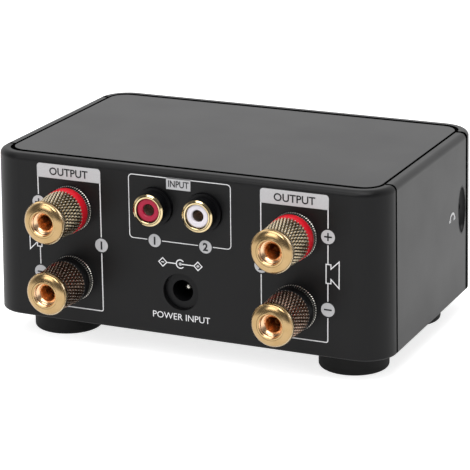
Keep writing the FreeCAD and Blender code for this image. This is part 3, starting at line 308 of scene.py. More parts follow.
tin_bronze = plated_metal("bronze_contact", "#a8988e", "#c6b6aa", 0.16, 0.26, metallic=0.8)
steel = plated_metal("zinc_plated_steel", "#a8a9aa", "#c4c5c6", 0.26, 0.38)
bright_edge = turned_metal("cut_aluminium_edge", "#c8cacc", "#e2e4e6", 0.16, 0.26)
ink_light = screen_ink("grey_white_ink", "#acacae", "#c0c0c2")
ink_line = screen_ink("thick_grey_white_ink", "#d6d6d8", "#e8e8ea")
ink_dark = screen_ink("black_ink", "#161618", "#222224")
board_green = circuit_board()
# A matt black strip for the case's seams: painted shade that makes each slot read as a black line.
seam_shade_strip = moulded_plastic("black_seam_painted_shade", "#010101", "#040404", 0.90, 1.00, 0.3, Specular_IOR_Level=0.0)

FINISHES = {
    "case_black": case_black,
    "plate_black": plate_black,
    "foot_rubber": rubber_black,
    "screw_steel": steel,
    "nut_gold": gold_cap,
    "stud_gold": gold_sleeve,
    "base_steel": nickel,
    "ring_red": red_ring,
    "ring_black": black_nylon,
    "phono_gold": gold_sleeve,
    "insulator_red": red_nylon,
    "insulator_white": white_nylon,
    "black_plastic": black_abs,
    "contact_metal": tin_bronze,
    "board_green": board_green,
    "brass_plain": plated_metal("plain_brass", "#b08d4c", "#caa765", 0.30, 0.45),
    "sink_aluminium": extruded_sink(),
    "can_sleeve": printed_sleeve(),
    "choke_ferrite": moulded_plastic("ferrite", "#2b2b2e", "#39393c", 0.55, 0.70, 0.3),
    "film_box": moulded_plastic("epoxy_box", "#8c2a1e", "#a3392a", 0.30, 0.42),
    "lamp_lens": lamp_lens(),
    "knob_black": case_black,
    "shaft_metal": turned_metal("turned_aluminium", "#b4b6b8", "#cfd1d3", 0.26, 0.38),
}
# Nodes whose finish differs from the rest of their slot
OWN_FINISHES = {
    "case_sleeve": brightened_sleeve_black,
    "front_shell": brightened_sleeve_black,
    "inlet_pin": nickel,
    # Paler than the case's black plastic: painted light, so the recessed cup reads lit inside.
    "headphone_cup": moulded_plastic("grey_abs_painted_lighter", "#141415", "#1f1f21", 0.36, 0.48,
                                     Specular_IOR_Level=0.30),
}
for entry in frame["record"]["subparts"]:
    for used in frame["nodes"][entry["node"]].material_slots:
        used.material = OWN_FINISHES.get(entry["node"], FINISHES[entry["material_slot"]])


# ---- Meshes
RIDGES = 40
RING_POINTS = 3 * RIDGES


def ring_at(mesh, along, radii, count=RING_POINTS):
    """A ring of points round Y at a place along it. radii repeats round the ring."""
    made = []
    for i in range(count):
        angle = FULL_TURN * i / count
        radius = radii[i % len(radii)]
        made.append(mesh.verts.new((radius * math.sin(angle), along, radius * math.cos(angle))))
    return made


def skin(mesh, first, second, finish=0, smooth=True):
    """Faces between two rings with as many points each. A tuple of finishes repeats round the ring."""
    count = len(first)
    finishes = finish if isinstance(finish, tuple) else (finish,)
    for i in range(count):
        face = mesh.faces.new((first[i], first[(i + 1) % count], second[(i + 1) % count], second[i]))
        face.material_index = finishes[i % len(finishes)]
        face.smooth = smooth


def turn_section(mesh, section, last=None):
    """Rings for a section of (along, radii, finish), joined by faces. last is a ring to start from."""
    rings = [last] if last else []
    for along, radii, finish in section:
        made = ring_at(mesh, along, radii, len(rings[0]) if rings else RING_POINTS)
        if rings:
            skin(mesh, rings[-1], made, finish, len(radii) == 1)
        rings.append(made)
    return rings


def cross_drilled(mesh, radius, along, half_length):
    """The mesh with a round hole along X, at a place along Y."""
    tool = bmesh.new()
    lying = Matrix.Translation((0, along, 0)) @ Matrix.Rotation(math.pi / 2, 4, "Y")
    bmesh.ops.create_cone(tool, cap_ends=True, segments=32, radius1=radius, radius2=radius,
                          depth=2 * half_length, matrix=lying)
    holders = []
    for source in (mesh, tool):
        data = bpy.data.meshes.new("drilling")
        source.to_mesh(data)
        source.free()
        holders.append(bpy.data.objects.new("drilling", data))
        scene.collection.objects.link(holders[-1])
    hole = holders[0].modifiers.new("hole", "BOOLEAN")
    hole.solver = "EXACT"
    hole.object = holders[1]
    drilled = bmesh.new()
    drilled.from_mesh(holders[0].evaluated_get(bpy.context.evaluated_depsgraph_get()).data)
    for holder in holders:
        bpy.data.objects.remove(holder)
    return drilled


def finish_piece(name, mesh, body, finishes, origin=(0, 0, 0), stands_for=(), lean=0.0):
    """Makes an object from a bmesh in millimetres. Edges of more than 35 degrees stay crisp."""
    bmesh.ops.recalc_face_normals(mesh, faces=mesh.faces)
    for edge in mesh.edges:
        if edge.calc_face_angle(0.0) > math.radians(35):
            edge.smooth = False
    data = bpy.data.meshes.new(name)
    mesh.to_mesh(data)
    mesh.free()
    data.transform(Matrix.Rotation(lean, 4, "Y") @ Matrix.Scale(MM, 4))
    for finish in finishes:
        data.materials.append(finish)
    made = bpy.data.objects.new(name, data)
    made.location = Vector(origin) * MM
    scene.collection.objects.link(made)
    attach(made, body)
    if stands_for:
        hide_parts(*stands_for)


# ---- Case seams
# The case's cross section: half its width at the top, what each side gains down to the base, and the
# rounds of its upper and lower edges.
CASE_HALF_TOP = 55.3
SIDE_DRAFT = 0.8
TOP_ROUND = 1.6
BASE_ROUND = 0.6
# How far the seams are from the case's ends
SEAM_SETBACK = 9.0


def case_half(z):
    """Half the case's width at a height."""
    return CASE_HALF_TOP + SIDE_DRAFT * (CASE_TOP - z) / (CASE_TOP - CASE_BASE)


def case_round(hub_z, radius, start, steps):
    """Places and outward directions round one edge of the case, through 90 degrees down from start."""
    hub = Vector((case_half(hub_z) - radius, hub_z))
    made = []
    for i in range(steps + 1):
        angle = math.radians(start - 90 * i / steps)
        out = Vector((math.cos(angle), math.sin(angle)))
        made.append((hub + out * radius, out))
    return made


def swept_strip(name, path, offsets, closed):
    """A strip whose section follows a path of (place, out, along). offsets are multiples of out and along."""
    mesh = bmesh.new()
    rails = []
    for place, out, along in path:
        rails.append([mesh.verts.new(place + out * u + along * v) for u, v in offsets])
    count = len(offsets)
    for i in range(len(rails) if closed else len(rails) - 1):
        here, after = rails[i], rails[(i + 1) % len(rails)]
        for k in range(count):
            face = mesh.faces.new((here[k], here[(k + 1) % count], after[(k + 1) % count], after[k]))
            face.smooth = True
    if not closed:
        mesh.faces.new(rails[0])
        mesh.faces.new(rails[-1])
    finish_piece(name, mesh, "chassis", [seam_shade_strip])


def rounded_rectangle(half_x, half_y, radius, steps=10):
    """Places and outward directions round a rectangle with rounded corners."""
    made = []
    for sx, sy, start in ((1, 1, 0), (-1, 1, 90), (-1, -1, 180), (1, -1, 270)):
        hub = Vector((sx * (half_x - radius), sy * (half_y - radius)))
        for i in range(steps + 1):
            angle = math.radians(start + 90 * i / steps)
            out = Vector((math.cos(angle), math.sin(angle)))
            made.append((hub + out * radius, out))
    return made


def plate_seam():
    """A matt black strip in the slot round the top plate: painted shade that makes the slot read as a black
    line.
    """
    half_x, half_y, top = (reach("top_plate", axis)[1] for axis in range(3))
    slot_side, slot_end, slot_round = 0.6, 1.4, 5.5
    # The strip's inner edge hides under the plate by cover.
    cover, cover_round = 0.2, 4.7
    # Across the slot an offset is a share of its width, and down the slot it is in millimetres.
    edge, foot, far = -0.03, -0.7, -1.0
    sunk, slot_floor = -0.04, -0.7
    outer = rounded_rectangle(half_x + slot_side, half_y + slot_end, slot_round)
    inner = rounded_rectangle(half_x - cover, half_y - cover, cover_round)
    path = []
    for (here, _), (across, _) in zip(outer, inner):
        path.append((here.to_3d() + Vector((0, 0, top)), (here - across).to_3d(), Vector((0, 0, 1))))
    section = [(edge, sunk), (edge, slot_floor), (foot, slot_floor), (far, sunk)]
    swept_strip("plate_seam_strip", path, section, True)


def shell_seam(name, along, half_width):
    """A black strip of painted shade in the slot between sleeve and end shell, from plate edge to plate edge.
    """
    plate_edge = 52.6
    skin_depth, strip_depth = 0.03, 0.6
    flank = [(Vector((plate_edge, CASE_TOP)), Vector((0, 1)))]
    flank += case_round(CASE_TOP - TOP_ROUND, TOP_ROUND, 90, 6)
    flank += case_round(CASE_BASE + BASE_ROUND, BASE_ROUND, 0, 4)
    whole = flank + [(Vector((-p.x, p.y)), Vector((-o.x, o.y))) for p, o in reversed(flank)]
    path = [(Vector((p.x, along, p.y)), Vector((o.x, 0, o.y)), Vector((0, 1, 0))) for p, o in whole]
    section = [(-skin_depth, half_width), (-skin_depth, -half_width),
               (-strip_depth, -half_width), (-strip_depth, half_width)]
    swept_strip(name, path, section, False)


plate_seam()
shell_seam("rear_seam_strip", REAR - SEAM_SETBACK, half_width=0.49)
shell_seam("front_seam_strip", FRONT + SEAM_SETBACK, half_width=0.74)


# ---- Binding posts
# The knurling: slim diamonds about DIAMOND long, RIDGES of them round, each a small flat-topped pyramid.
# FLAT_SHARE is how far the flat top reaches towards the grooves, and FOOT_SHARE how far the slopes do.
DIAMOND = 2.75
KNURL_DEPTH = 0.38
FLAT_SHARE = 0.24
FOOT_SHARE = 0.72
# The mouth of a nut, a ring or a rim, which clears the stud.
BORE_RADIUS = 3.03
# The finishes of a nut, in the order of its materials
# Crest faces take a painted glint, groove faces painted shade, and one facet of each rim tooth a painted
# glint.
CREST_GLINT, SLOPE, GROOVE_SHADE, CAP, BORE, TOOTH_GLINT = range(6)
# Where the rim's black toothed washer ends and the coloured ring starts, from the rear face
RIM_END = 1.40


def diamond_knurl(mesh, near, far, radius_near, radius_far):
    """Diamond knurling on a taper. Returns the rings of points at its two ends."""
    rows = 2 * round((far - near) / DIAMOND)
    foot_depth = KNURL_DEPTH * (FOOT_SHARE - FLAT_SHARE) / (1 - FLAT_SHARE)

    def point(m, k, sunk):
        share = k / rows
        radius = radius_near + (radius_far - radius_near) * share - sunk
        angle = math.pi * m / RIDGES
        return radius * math.sin(angle), near + (far - near) * share, radius * math.cos(angle)

    grooves = {}
    for k in range(rows + 1):
        for m in range(2 * RIDGES):
            if (m + k) % 2 == 0:
                grooves[m, k] = mesh.verts.new(point(m, k, KNURL_DEPTH))
    ends = {0: [], rows: []}
    for k in range(rows + 1):
        for m in range(2 * RIDGES):
            if (m + k) % 2 == 0:
                if k in ends:
                    ends[k].append(grooves[m, k])
                continue
            corners = []
            for step_m, step_k in ((-1, 0), (0, -1), (1, 0), (0, 1)):
                if 0 <= k + step_k <= rows:
                    low = grooves[(m + step_m) % (2 * RIDGES), k + step_k]
                    foot = mesh.verts.new(point(m + step_m * FOOT_SHARE, k + step_k * FOOT_SHARE, foot_depth))
                    top = mesh.verts.new(point(m + step_m * FLAT_SHARE, k + step_k * FLAT_SHARE, 0.0))
                    corners.append((low, foot, top, step_k))
            mesh.faces.new([corner[2] for corner in corners]).material_index = CREST_GLINT
            for i, (low, foot, top, side) in enumerate(corners):
                next_low, next_foot, next_top, next_side = corners[(i + 1) % len(corners)]
                if side == 0 and next_side == 0:
                    continue
                mesh.faces.new((low, next_low, next_foot, foot)).material_index = GROOVE_SHADE
                mesh.faces.new((foot, next_foot, next_top, top)).material_index = SLOPE
            if k in ends:
                for corner in corners:
                    if corner[3] == 0:
                        ends[k] += corner[1:3]
    for ring in ends.values():
        ring.sort(key=lambda vert: math.atan2(vert.co.x, vert.co.z) % FULL_TURN)
    return ends[0], ends[rows]


def post_nut(name, crest, slope, groove):
    """The thumb nut: knurled barrel, neck, toothed rim and domed gold cap with a threaded mouth."""
    x, _, z = middle(name + "_stud")
    near, face = (place - REAR for place in reach(name + "_nut", 1))
    barrel_near, barrel_far, barrel_length = 5.95, 5.40, 8.7
    neck, neck_length, bevel = 5.02, 0.4, 0.25
    cap_radius, rim_length, tooth, chamfer = 5.77, 1.0, 0.22, 0.24
    neck_start = near + barrel_length
    rim = neck_start + neck_length
    shoulder = rim + rim_length
    toothed = (cap_radius, cap_radius - tooth)
    dome_radius = cap_radius - 0.30
    mesh = bmesh.new()
    first, last = diamond_knurl(mesh, near + bevel, neck_start - bevel, barrel_near, barrel_far)
    outer = turn_section(mesh, [
        # The neck under the rim takes the dark groove finish: painted shade.
        (neck_start, [barrel_far - KNURL_DEPTH], GROOVE_SHADE),
        (neck_start + 0.1, [neck], GROOVE_SHADE),
        (rim - 0.05, [neck], GROOVE_SHADE),
        (rim, [dome_radius], CAP),
        (rim + 0.12, toothed, CAP),
        # Alternate facets of the teeth take the paler slope gold: painted glints.
        (shoulder - chamfer, toothed, (TOOTH_GLINT, CAP)),
        (shoulder, (dome_radius + 0.04, dome_radius + 0.02), (TOOTH_GLINT, CAP)),
        (shoulder, [dome_radius], CAP)], last)[-1]
    # The dome: part of a circle, opened by so many degrees and stretched to end at the lip.
    rest = []
    steps, lip_radius, opened = 9, 3.72, math.radians(54)
    for i in range(1, steps + 1):
        angle = opened * i / steps
        inward = (1 - math.cos(angle)) / (1 - math.cos(opened))
        outward = math.sin(angle) / math.sin(opened)
        along = shoulder + (face - shoulder) * outward
        rest.append((along, [dome_radius + (lip_radius - dome_radius) * inward], CAP))
    # A fine groove, painted shade in the dark groove finish, the flat face round the mouth and its bevel
    rest += [(face - 0.05, [lip_radius - 0.04], GROOVE_SHADE), (face - 0.01, [lip_radius - 0.10], CAP),
             (face - 0.01, [BORE_RADIUS + 0.22], CAP), (face - 0.16, [BORE_RADIUS + 0.03], CAP)]
    # The first turns of the thread in the mouth. The rest of the bore is plain.
    thread_start, thread_pitch, thread_depth, plain_from = 0.24, 0.30, 0.12, 1.2
    for i in range(3):
        start = face - thread_start - thread_pitch * i
        rest += [(start, [BORE_RADIUS], BORE), (start - thread_pitch / 2, [BORE_RADIUS + thread_depth], BORE)]
    rest += [(face - plain_from, [BORE_RADIUS], BORE), (near, [BORE_RADIUS], BORE),
             (near, [barrel_near - KNURL_DEPTH], GROOVE_SHADE)]
    inner = turn_section(mesh, rest, outer)[-1]
    skin(mesh, inner, first, GROOVE_SHADE)
    finish_piece(name + "_thumb_nut", mesh, name + "_nut",
                 [crest, slope, groove, gold_cap, bore_gold_brightened, pale_knurl[1]],
                 (x, REAR, z), [name + "_nut"])


def post_rim(name):
    """The rim on the rear face: a toothed nickel flange and a black washer, their teeth painted with glints.
    """
    x, _, z = middle(name + "_stud")
    radius, tooth = 6.2, 0.17
    toothed = (radius, radius - tooth)
    washer = (radius - 0.26, radius - 0.30 - tooth)
    mesh = bmesh.new()
    # Round the teeth the finish alternates facet by facet, nickel and black: painted glints and painted
    # shade.
    rings = turn_section(mesh, [
        (0, [BORE_RADIUS], 0), (0, [radius - 0.15], 0), (0.04, toothed, (0, 1)), (0.10, toothed, (0, 1)),
        (0.24, [r - 0.14 for r in toothed], (0, 1)), (0.28, washer, 1), (0.70, washer, 1),
        (RIM_END - 0.12, washer, (0, 1)), (RIM_END, [radius - 0.5], 1), (RIM_END, [BORE_RADIUS], 1)])
    skin(mesh, rings[-1], rings[0], 0)
    finish_piece(name + "_rim", mesh, "chassis", [nickel_and_glints, black_nylon], (x, REAR, z),
                 [name + "_base"])


def post_ring(name, finish):
    """The smooth coloured ring between the rim and the nut, with both edges broken."""
    x, _, z = middle(name + "_stud")
    far = reach(name + "_ring", 1)[1] - REAR
    clearance = 0.02
    near = RIM_END + clearance
    radius, edge = 6.0, 0.18
    turned = edge * 0.3
    mesh = bmesh.new()
    rings = turn_section(mesh, [
        (near, [BORE_RADIUS], 0), (near, [radius - edge], 0), (near + turned, [radius - turned], 0),
        (near + edge, [radius], 0), (far - edge, [radius], 0), (far - turned, [radius - turned], 0),
        (far, [radius - edge], 0), (far, [BORE_RADIUS], 0)])
    skin(mesh, rings[-1], rings[0], 0)
    finish_piece(name + "_collar", mesh, name + "_ring", [finish], (x, REAR, z), [name + "_ring"])


def post_stud(name):
    """The stud: a rolled thread of 1 mm a turn, a funnelled plug bore and the cross hole for a wire."""
    x, _, z = middle(name + "_stud")
    tail, front = (place - REAR for place in reach(name + "_stud", 1))
    radius, depth, pitch, points = 2.95, 0.30, 1.0, 48
    bore, bore_depth, funnel, funnel_depth = 2.02, 15.2, 2.8, 0.9
    wire_hole, wire_hole_place = 1.1, 2.8
    mesh = bmesh.new()
    rows = 4 * round((front - tail) / pitch)
    rings = [ring_at(mesh, tail, [radius - 0.4], points)]
    mesh.faces.new(rings[0])
    for k in range(1, rows):
        along = tail + (front - tail) * k / rows
        ring = []
        for i in range(points):
            phase = (along / pitch - i / points) % 1.0
            here = radius - depth * abs(2 * phase - 1)
            angle = FULL_TURN * (i / points)
            ring.append(mesh.verts.new((here * math.sin(angle), along, here * math.cos(angle))))
        skin(mesh, rings[-1], ring, 0)
        rings.append(ring)
    floor_of_bore = front - funnel_depth - bore_depth
    rings = turn_section(mesh, [(front - 0.08, [radius - 0.02], 0), (front, [radius - 0.08], 0),
                                (front - 0.02, [funnel], 1), (front - funnel_depth + 0.1, [bore + 0.06], 1),
                                (front - funnel_depth, [bore], 1), (floor_of_bore, [bore], 1),
                                (floor_of_bore - 1.0, [0.1], 1)], rings[-1])
    mesh.faces.new(rings[-1])
    mesh = cross_drilled(mesh, wire_hole, wire_hole_place, 2 * radius)
    finish_piece(name + "_screw_thread", mesh, "chassis", [gold_sleeve, bore_gold_brightened], (x, REAR, z),
                 [name + "_stud"])


for post in ("post_1_plus", "post_1_minus", "post_2_plus", "post_2_minus"):
    plus = post.endswith("plus")
    post_nut(post, *(pale_knurl if plus else shaded_lower_knurl))
    post_rim(post)
    post_ring(post, red_ring if plus else black_nylon)
    post_stud(post)


# ---- Phono sockets
def phono_sleeve(name):
    """The sleeve: a black skirt, and a plated lip with a bevel, a fine groove and a funnel."""
    x, _, z = middle(name + "_shell")
    root, tip = (place - REAR for place in reach(name + "_shell", 1))
    seat, neck, radius, hole = 1.1, 3.65, 4.2, 3.08
    skirt = radius - 0.1
    mesh = bmesh.new()
    # The black skirt stands in for the plated side: painted reflection of the dark rear panel.
    rings = turn_section(mesh, [
        (root, [hole], 0), (root, [neck], 0), (seat, [neck], 1), (seat, [skirt], 1),
        (tip - 0.60, [skirt], 1), (tip - 0.54, [radius - 0.02], 0), (tip - 0.42, [radius], 0),
        (tip - 0.34, [radius - 0.01], 0), (tip - 0.30, [radius - 0.08], 0), (tip - 0.05, [3.74], 0),
        # The fine groove and the step down to the insulator take the black finish: painted shade.
        (tip - 0.14, [3.70], 1), (tip - 0.14, [3.64], 1), (tip - 0.01, [3.58], 0), (tip, [3.50], 0),
        (tip - 0.01, [3.36], 0), (tip - 0.10, [3.22], 0), (tip - 0.24, [3.20], 1), (tip - 0.48, [hole], 1)])
    skin(mesh, rings[-1], rings[0], 0)
    finish_piece(name + "_lipped_sleeve", mesh, "chassis", [gold_sleeve, black_abs], (x, REAR, z),
                 [name + "_shell"])


for socket in ("phono_1", "phono_2"):
    phono_sleeve(socket)


# ---- Printing
# The thickness of a layer of ink, and the usual width of a printed line
INK = 0.03
LINE = 0.27
# A print's inks: 0 is pale, for areas, 1 is black, for what stands on them, and THICK is for lines and words.
THICK = 2
# The height of a capital letter as a share of the size of the letters, and how much numbers are thickened
CAPITAL = 0.70
NUMBER_BOLD = 0.035


class Print:
    """Ink shapes on one flat face, drawn in millimetres across and up, as a viewer of that face sees them."""

    def __init__(self, across, out):
        self.across = Vector(across)
        self.out = Vector(out)
        self.mesh = bmesh.new()

    def shape(self, points, layer=0, finish=None):
        """A filled outline. Layer 0 is pale, and layer 1 lies on it and is black. finish is another ink."""
        low = layer * INK
        rings = []
        for height in (low, low + INK):
            ring = []
            for u, v in points:
                ring.append(self.mesh.verts.new(self.across * u + Vector((0, 0, v)) + self.out * height))
            rings.append(ring)
        faces = [self.mesh.faces.new(rings[0]), self.mesh.faces.new(rings[1])]
        for i in range(len(points)):
            j = (i + 1) % len(points)
            faces.append(self.mesh.faces.new((rings[0][i], rings[0][j], rings[1][j], rings[1][i])))
        for face in faces:
            face.material_index = layer if finish is None else finish

    def line(self, points, width=LINE, closed=False, layer=0):
        """A line of even width with mitred corners."""
        points = [Vector(p) for p in points]
        count = len(points)
        left, right_side = [], []
        for i, here in enumerate(points):
            before = points[i - 1] if i or closed else None
            after = points[(i + 1) % count] if i < count - 1 or closed else None
            ways = []
            if before is not None:
                ways.append((here - before).normalized())
            if after is not None:
                ways.append((after - here).normalized())
            way = sum(ways, Vector((0, 0))).normalized()
            normal = Vector((-way.y, way.x))
            stretch = 1 / max(0.4, normal.dot(Vector((-ways[0].y, ways[0].x))))
            left.append(here + normal * width / 2 * stretch)
            right_side.append(here - normal * width / 2 * stretch)
        for i in range(count if closed else count - 1):
            j = (i + 1) % count
            self.shape([left[i], left[j], right_side[j], right_side[i]], layer, layer or THICK)

    def disc(self, u, v, radius, layer=0):
        """A filled circle."""
        count = 40
        points = []
        for i in range(count):
            angle = FULL_TURN * i / count
            points.append((u + radius * math.cos(angle), v + radius * math.sin(angle)))
        self.shape(points, layer)

    def arc(self, u, v, radius, start, end, width=LINE, layer=0):
        """Part of a circle between two angles in degrees, counted from the right, upward."""
        steps = max(6, round(abs(end - start) / 8))
        points = []
        for i in range(steps + 1):
            angle = math.radians(start + (end - start) * i / steps)
            points.append((u + radius * math.cos(angle), v + radius * math.sin(angle)))
        self.line(points, width, layer=layer)

    def words(self, text, u, v, height, layer=0, stretch=1.0, bold=0.018):
        """Words or numbers centred on a place. height is a capital's, and bold thickens the strokes."""
        curve = bpy.data.curves.new("words", "FONT")
        curve.body = text
        curve.align_x = "CENTER"
        curve.resolution_u = 3
        curve.offset = bold
        holder = bpy.data.objects.new("words", curve)
        scene.collection.objects.link(holder)
        flat = bpy.data.meshes.new_from_object(holder.evaluated_get(bpy.context.evaluated_depsgraph_get()))
        bpy.data.objects.remove(holder)
        size = height / CAPITAL
        start = len(self.mesh.verts)
        self.mesh.from_mesh(flat)
        self.mesh.verts.ensure_lookup_table()
        added = set(self.mesh.verts[start:])
        for vert in added:
            sideways = self.across * (u + vert.co.x * size * stretch)
            upward = Vector((0, 0, v + vert.co.y * size - height / 2))
            vert.co = sideways + upward + self.out * (layer + 1) * INK
        for face in self.mesh.faces:
            if face.verts[0] in added:
                face.material_index = layer or THICK
        bpy.data.meshes.remove(flat)

    def done(self, name, origin, lean=0.0):
        """Turns the shapes into a piece on the chassis."""
        finish_piece(name, self.mesh, "chassis", [ink_light, ink_dark, ink_line], origin, lean=lean)


def rounded_frame(left, low, right_edge, high, radius):
    """Points round a rectangle with rounded corners, seven to a corner.

    They start at the foot of the lower right corner and go up.
    """
    points = []
    for u, v, start in ((right_edge - radius, low + radius, -90), (right_edge - radius, high - radius, 0),
                        (left + radius, high - radius, 90), (left + radius, low + radius, 180)):
        for i in range(7):
            angle = math.radians(start + 15 * i)
            points.append((u + radius * math.cos(angle), v + radius * math.sin(angle)))
    return points


# On the rear face u runs to the viewer's right and v up from the case's lower edge. SIGN is the radius of
# a sign's disc, and SIGN_GAP is left free between a disc and the line that it stands on.
SIGN = 1.84
SIGN_GAP = 0.35
rear_print = Print((-1, 0, 0), (0, 1, 0))


def output_printing(side):
    """The frame round one pair of posts, its title plate, its horn and its signs."""
    frame_in, frame_out, frame_low, corner = 22.6, 40.75, 4.05, 0.5
    plate_in, plate_out, plate_low, plate_high, plate_round = 22.42, 40.93, 38.88, 42.69, 0.9
    plus_v, minus_v, channel_v, title_u = 31.91, 12.76, 22.15, 31.7
    horn_foot, horn_head = 19.66, 24.85
    stroke, arm = 0.40, 1.05
    number_height, title_height = 2.1, 2.0
    inner, outer, clear = frame_in * side, frame_out * side, SIGN + SIGN_GAP
    plate = [(plate_in, plate_low), (plate_out, plate_low)]
    for hub, start in ((plate_out - plate_round, 0), (plate_in + plate_round, 90)):
        for i in range(7):
            angle = math.radians(start + 15 * i)
            plate.append((hub + plate_round * math.cos(angle),
                          plate_high - plate_round + plate_round * math.sin(angle)))
    rear_print.shape([(u * side, v) for u, v in plate])
    rear_print.line([(outer, plate_low), (outer, plus_v + clear)])
    rear_print.line([(outer, plus_v - clear), (outer, horn_head)])
    rear_print.line([(outer, horn_foot), (outer, minus_v + clear)])
    corners = rounded_frame(frame_in, frame_low, frame_out, plate_high, corner)
    rounded_foot = [(u * side, v) for u, v in corners[6::-1] + corners[:-8:-1]]
    rear_print.line([(outer, minus_v - clear)] + rounded_foot + [(inner, channel_v - clear)])
    rear_print.line([(inner, channel_v + clear), (inner, plate_low)])
    horn = [(40.25, 24.75), (41.56, 24.75), (41.56, 23.6), (43.75, 25.75), (43.75, 18.75), (41.56, 20.9),
            (41.56, 19.76), (40.25, 19.76)]
    rear_print.line([(u * side, v) for u, v in horn], LINE, closed=True)
    for u, v in ((outer, plus_v), (outer, minus_v), (inner, channel_v)):
        rear_print.disc(u, v, SIGN)
    rear_print.line([(outer - arm, plus_v), (outer + arm, plus_v)], stroke, layer=1)
    rear_print.line([(outer, plus_v - arm), (outer, plus_v + arm)], stroke, layer=1)
    rear_print.line([(outer - arm, minus_v), (outer + arm, minus_v)], stroke, layer=1)
    rear_print.words("1" if side < 0 else "2", inner, channel_v, number_height, layer=1, bold=NUMBER_BOLD)
    rear_print.words("OUTPUT", title_u * side, (plate_low + plate_high) / 2, title_height, layer=1)


def input_printing():
    """The frame round the phono sockets, open where the numbers stand, and its title plate."""
    half, low, high, corner, width = 14.3, 25.44, 42.45, 1.0, 0.20
    number_u, number_v, number_disc, number_height = 7.18, 25.3, 1.75, 2.0
    gap = SIGN + 0.25
    plate_left, plate_right, plate_low, plate_high = -3.6, 3.2, 39.55, 42.6
    title_v, title_height, title_stretch = 41.05, 1.7, 0.85
    around = rounded_frame(-half, low, half, high, corner)
    rear_print.line([(number_u + gap, low)] + around + [(-number_u - gap, low)], width)
    rear_print.line([(-number_u + gap, low), (number_u - gap, low)], width)
    rear_print.shape([(plate_left, plate_low), (plate_right, plate_low), (plate_right, plate_high),
                      (plate_left, plate_high)])
    rear_print.words("INPUT", (plate_left + plate_right) / 2, title_v, title_height, layer=1,
                     stretch=title_stretch)
    for u, number in ((-number_u, "1"), (number_u, "2")):
        rear_print.disc(u, number_v, number_disc)
        rear_print.words(number, u, number_v, number_height, layer=1, bold=NUMBER_BOLD)


def inlet_printing():
    """The sign for the inlet's polarity, minus outside and plus at the pin, and the words below."""
    sign_v, diamond_u, diamond, stroke = 19.82, 4.98, 1.15, 0.26
    arm, arm_width = 0.4, 0.22
    cup_radius, cup_width, dot = 1.12, 0.28, 0.42
    lead_end, cup_lead, dot_lead = 3.75, 1.2, 0.3
    title_v, title_height = 5.4, 1.75
    for u in (-diamond_u, diamond_u):
        rear_print.line([(u - diamond, sign_v), (u, sign_v + diamond), (u + diamond, sign_v),
                         (u, sign_v - diamond)], stroke, closed=True)
        rear_print.line([(u - arm, sign_v), (u + arm, sign_v)], arm_width)
    rear_print.line([(diamond_u, sign_v - arm), (diamond_u, sign_v + arm)], arm_width)
    rear_print.arc(0, sign_v, cup_radius, 40, 320, cup_width)
    rear_print.disc(0, sign_v, dot)
    rear_print.line([(-lead_end, sign_v), (-cup_lead, sign_v)], stroke)
    rear_print.line([(dot_lead, sign_v), (lead_end, sign_v)], stroke)
    rear_print.words("POWER INPUT", 0, title_v, title_height, bold=0.0)


for hand in (-1, 1):
    output_printing(hand)
input_printing()
inlet_printing()
rear_print.done("rear_printing", (0, REAR, CASE_BASE))


def headphone_sign():
    """The sign beside the headphone socket: a band and two ear pads, on the leaning side wall."""
    cup = middle("headphone_cup")
    band_radius, band_width, band_v = 1.8, 0.62, -0.3
    pad_u, pad_top, pad_foot, pad_width = 1.75, 0.1, -1.5, 1.4
    forward, lower = 7.9, 0.4
    side_print = Print((0, -1, 0), (-1, 0, 0))
    side_print.arc(0, band_v, band_radius, 0, 180, band_width)
    for u in (-pad_u, pad_u):
        side_print.line([(u, pad_top), (u, pad_foot)], pad_width)
    lean = -math.atan(SIDE_DRAFT / (CASE_TOP - CASE_BASE))
    side_print.done("headphone_sign", (-case_half(cup.z), cup.y + forward, cup.z - lower), lean)


headphone_sign()


# ---- Volume knob, power button and their printing on the front
def volume_knob():
    """The knob: fluted side, bright cut edge, turned face and a milled mark."""
    x, _, z = middle("volume_shaft")
    face, root = (place - FRONT for place in reach("volume_knob", 1))
    radius, flute = 13.0, 0.35
    hollow_radius, hollow_depth, shaft_radius, face_thickness = 8.5, 5.0, 3.0, 3.4
    hollow_floor, bore_floor = root - hollow_depth, face + face_thickness
    fluted = (radius, radius, radius - flute)
    mesh = bmesh.new()
    section = [(root, [hollow_radius], 0), (root, [radius - 0.5], 0), (root - 0.4, fluted, 0),
               (face + 2.2, fluted, 0), (face + 1.9, [radius - 0.2], 1), (face + 0.5, [radius - 0.9], 1),
               (face + 0.35, [radius - 1.5], 0), (face + 0.3, [radius - 3.0], 0), (face + 0.35, [0.05], 0)]
    rings = turn_section(mesh, section)
    hollow = turn_section(mesh, [(hollow_floor, [hollow_radius], 0), (hollow_floor, [shaft_radius], 0),
                                 (bore_floor, [shaft_radius], 0), (bore_floor, [0.05], 0)], rings[0])
    mesh.faces.new(rings[-1])
    mesh.faces.new(hollow[-1])
    finish_piece("volume_knob_fluted", mesh, "volume_control", [case_black, bright_edge], (x, FRONT, z),
                 ["volume_knob"])
    mark_size, mark_sunk, mark_radius = (1.1, 0.3, 4.6), 0.45, 9.0
    mark = bmesh.new()
    bmesh.ops.create_cube(mark, size=1.0)
    bmesh.ops.scale(mark, vec=mark_size, verts=mark.verts)
    bmesh.ops.bevel(mark, geom=mark.edges[:], offset=0.08, segments=2, affect="EDGES")
    finish_piece("volume_mark", mark, "volume_control", [ink_light],
                 (x, FRONT + face + mark_sunk, z + mark_radius))


volume_knob()


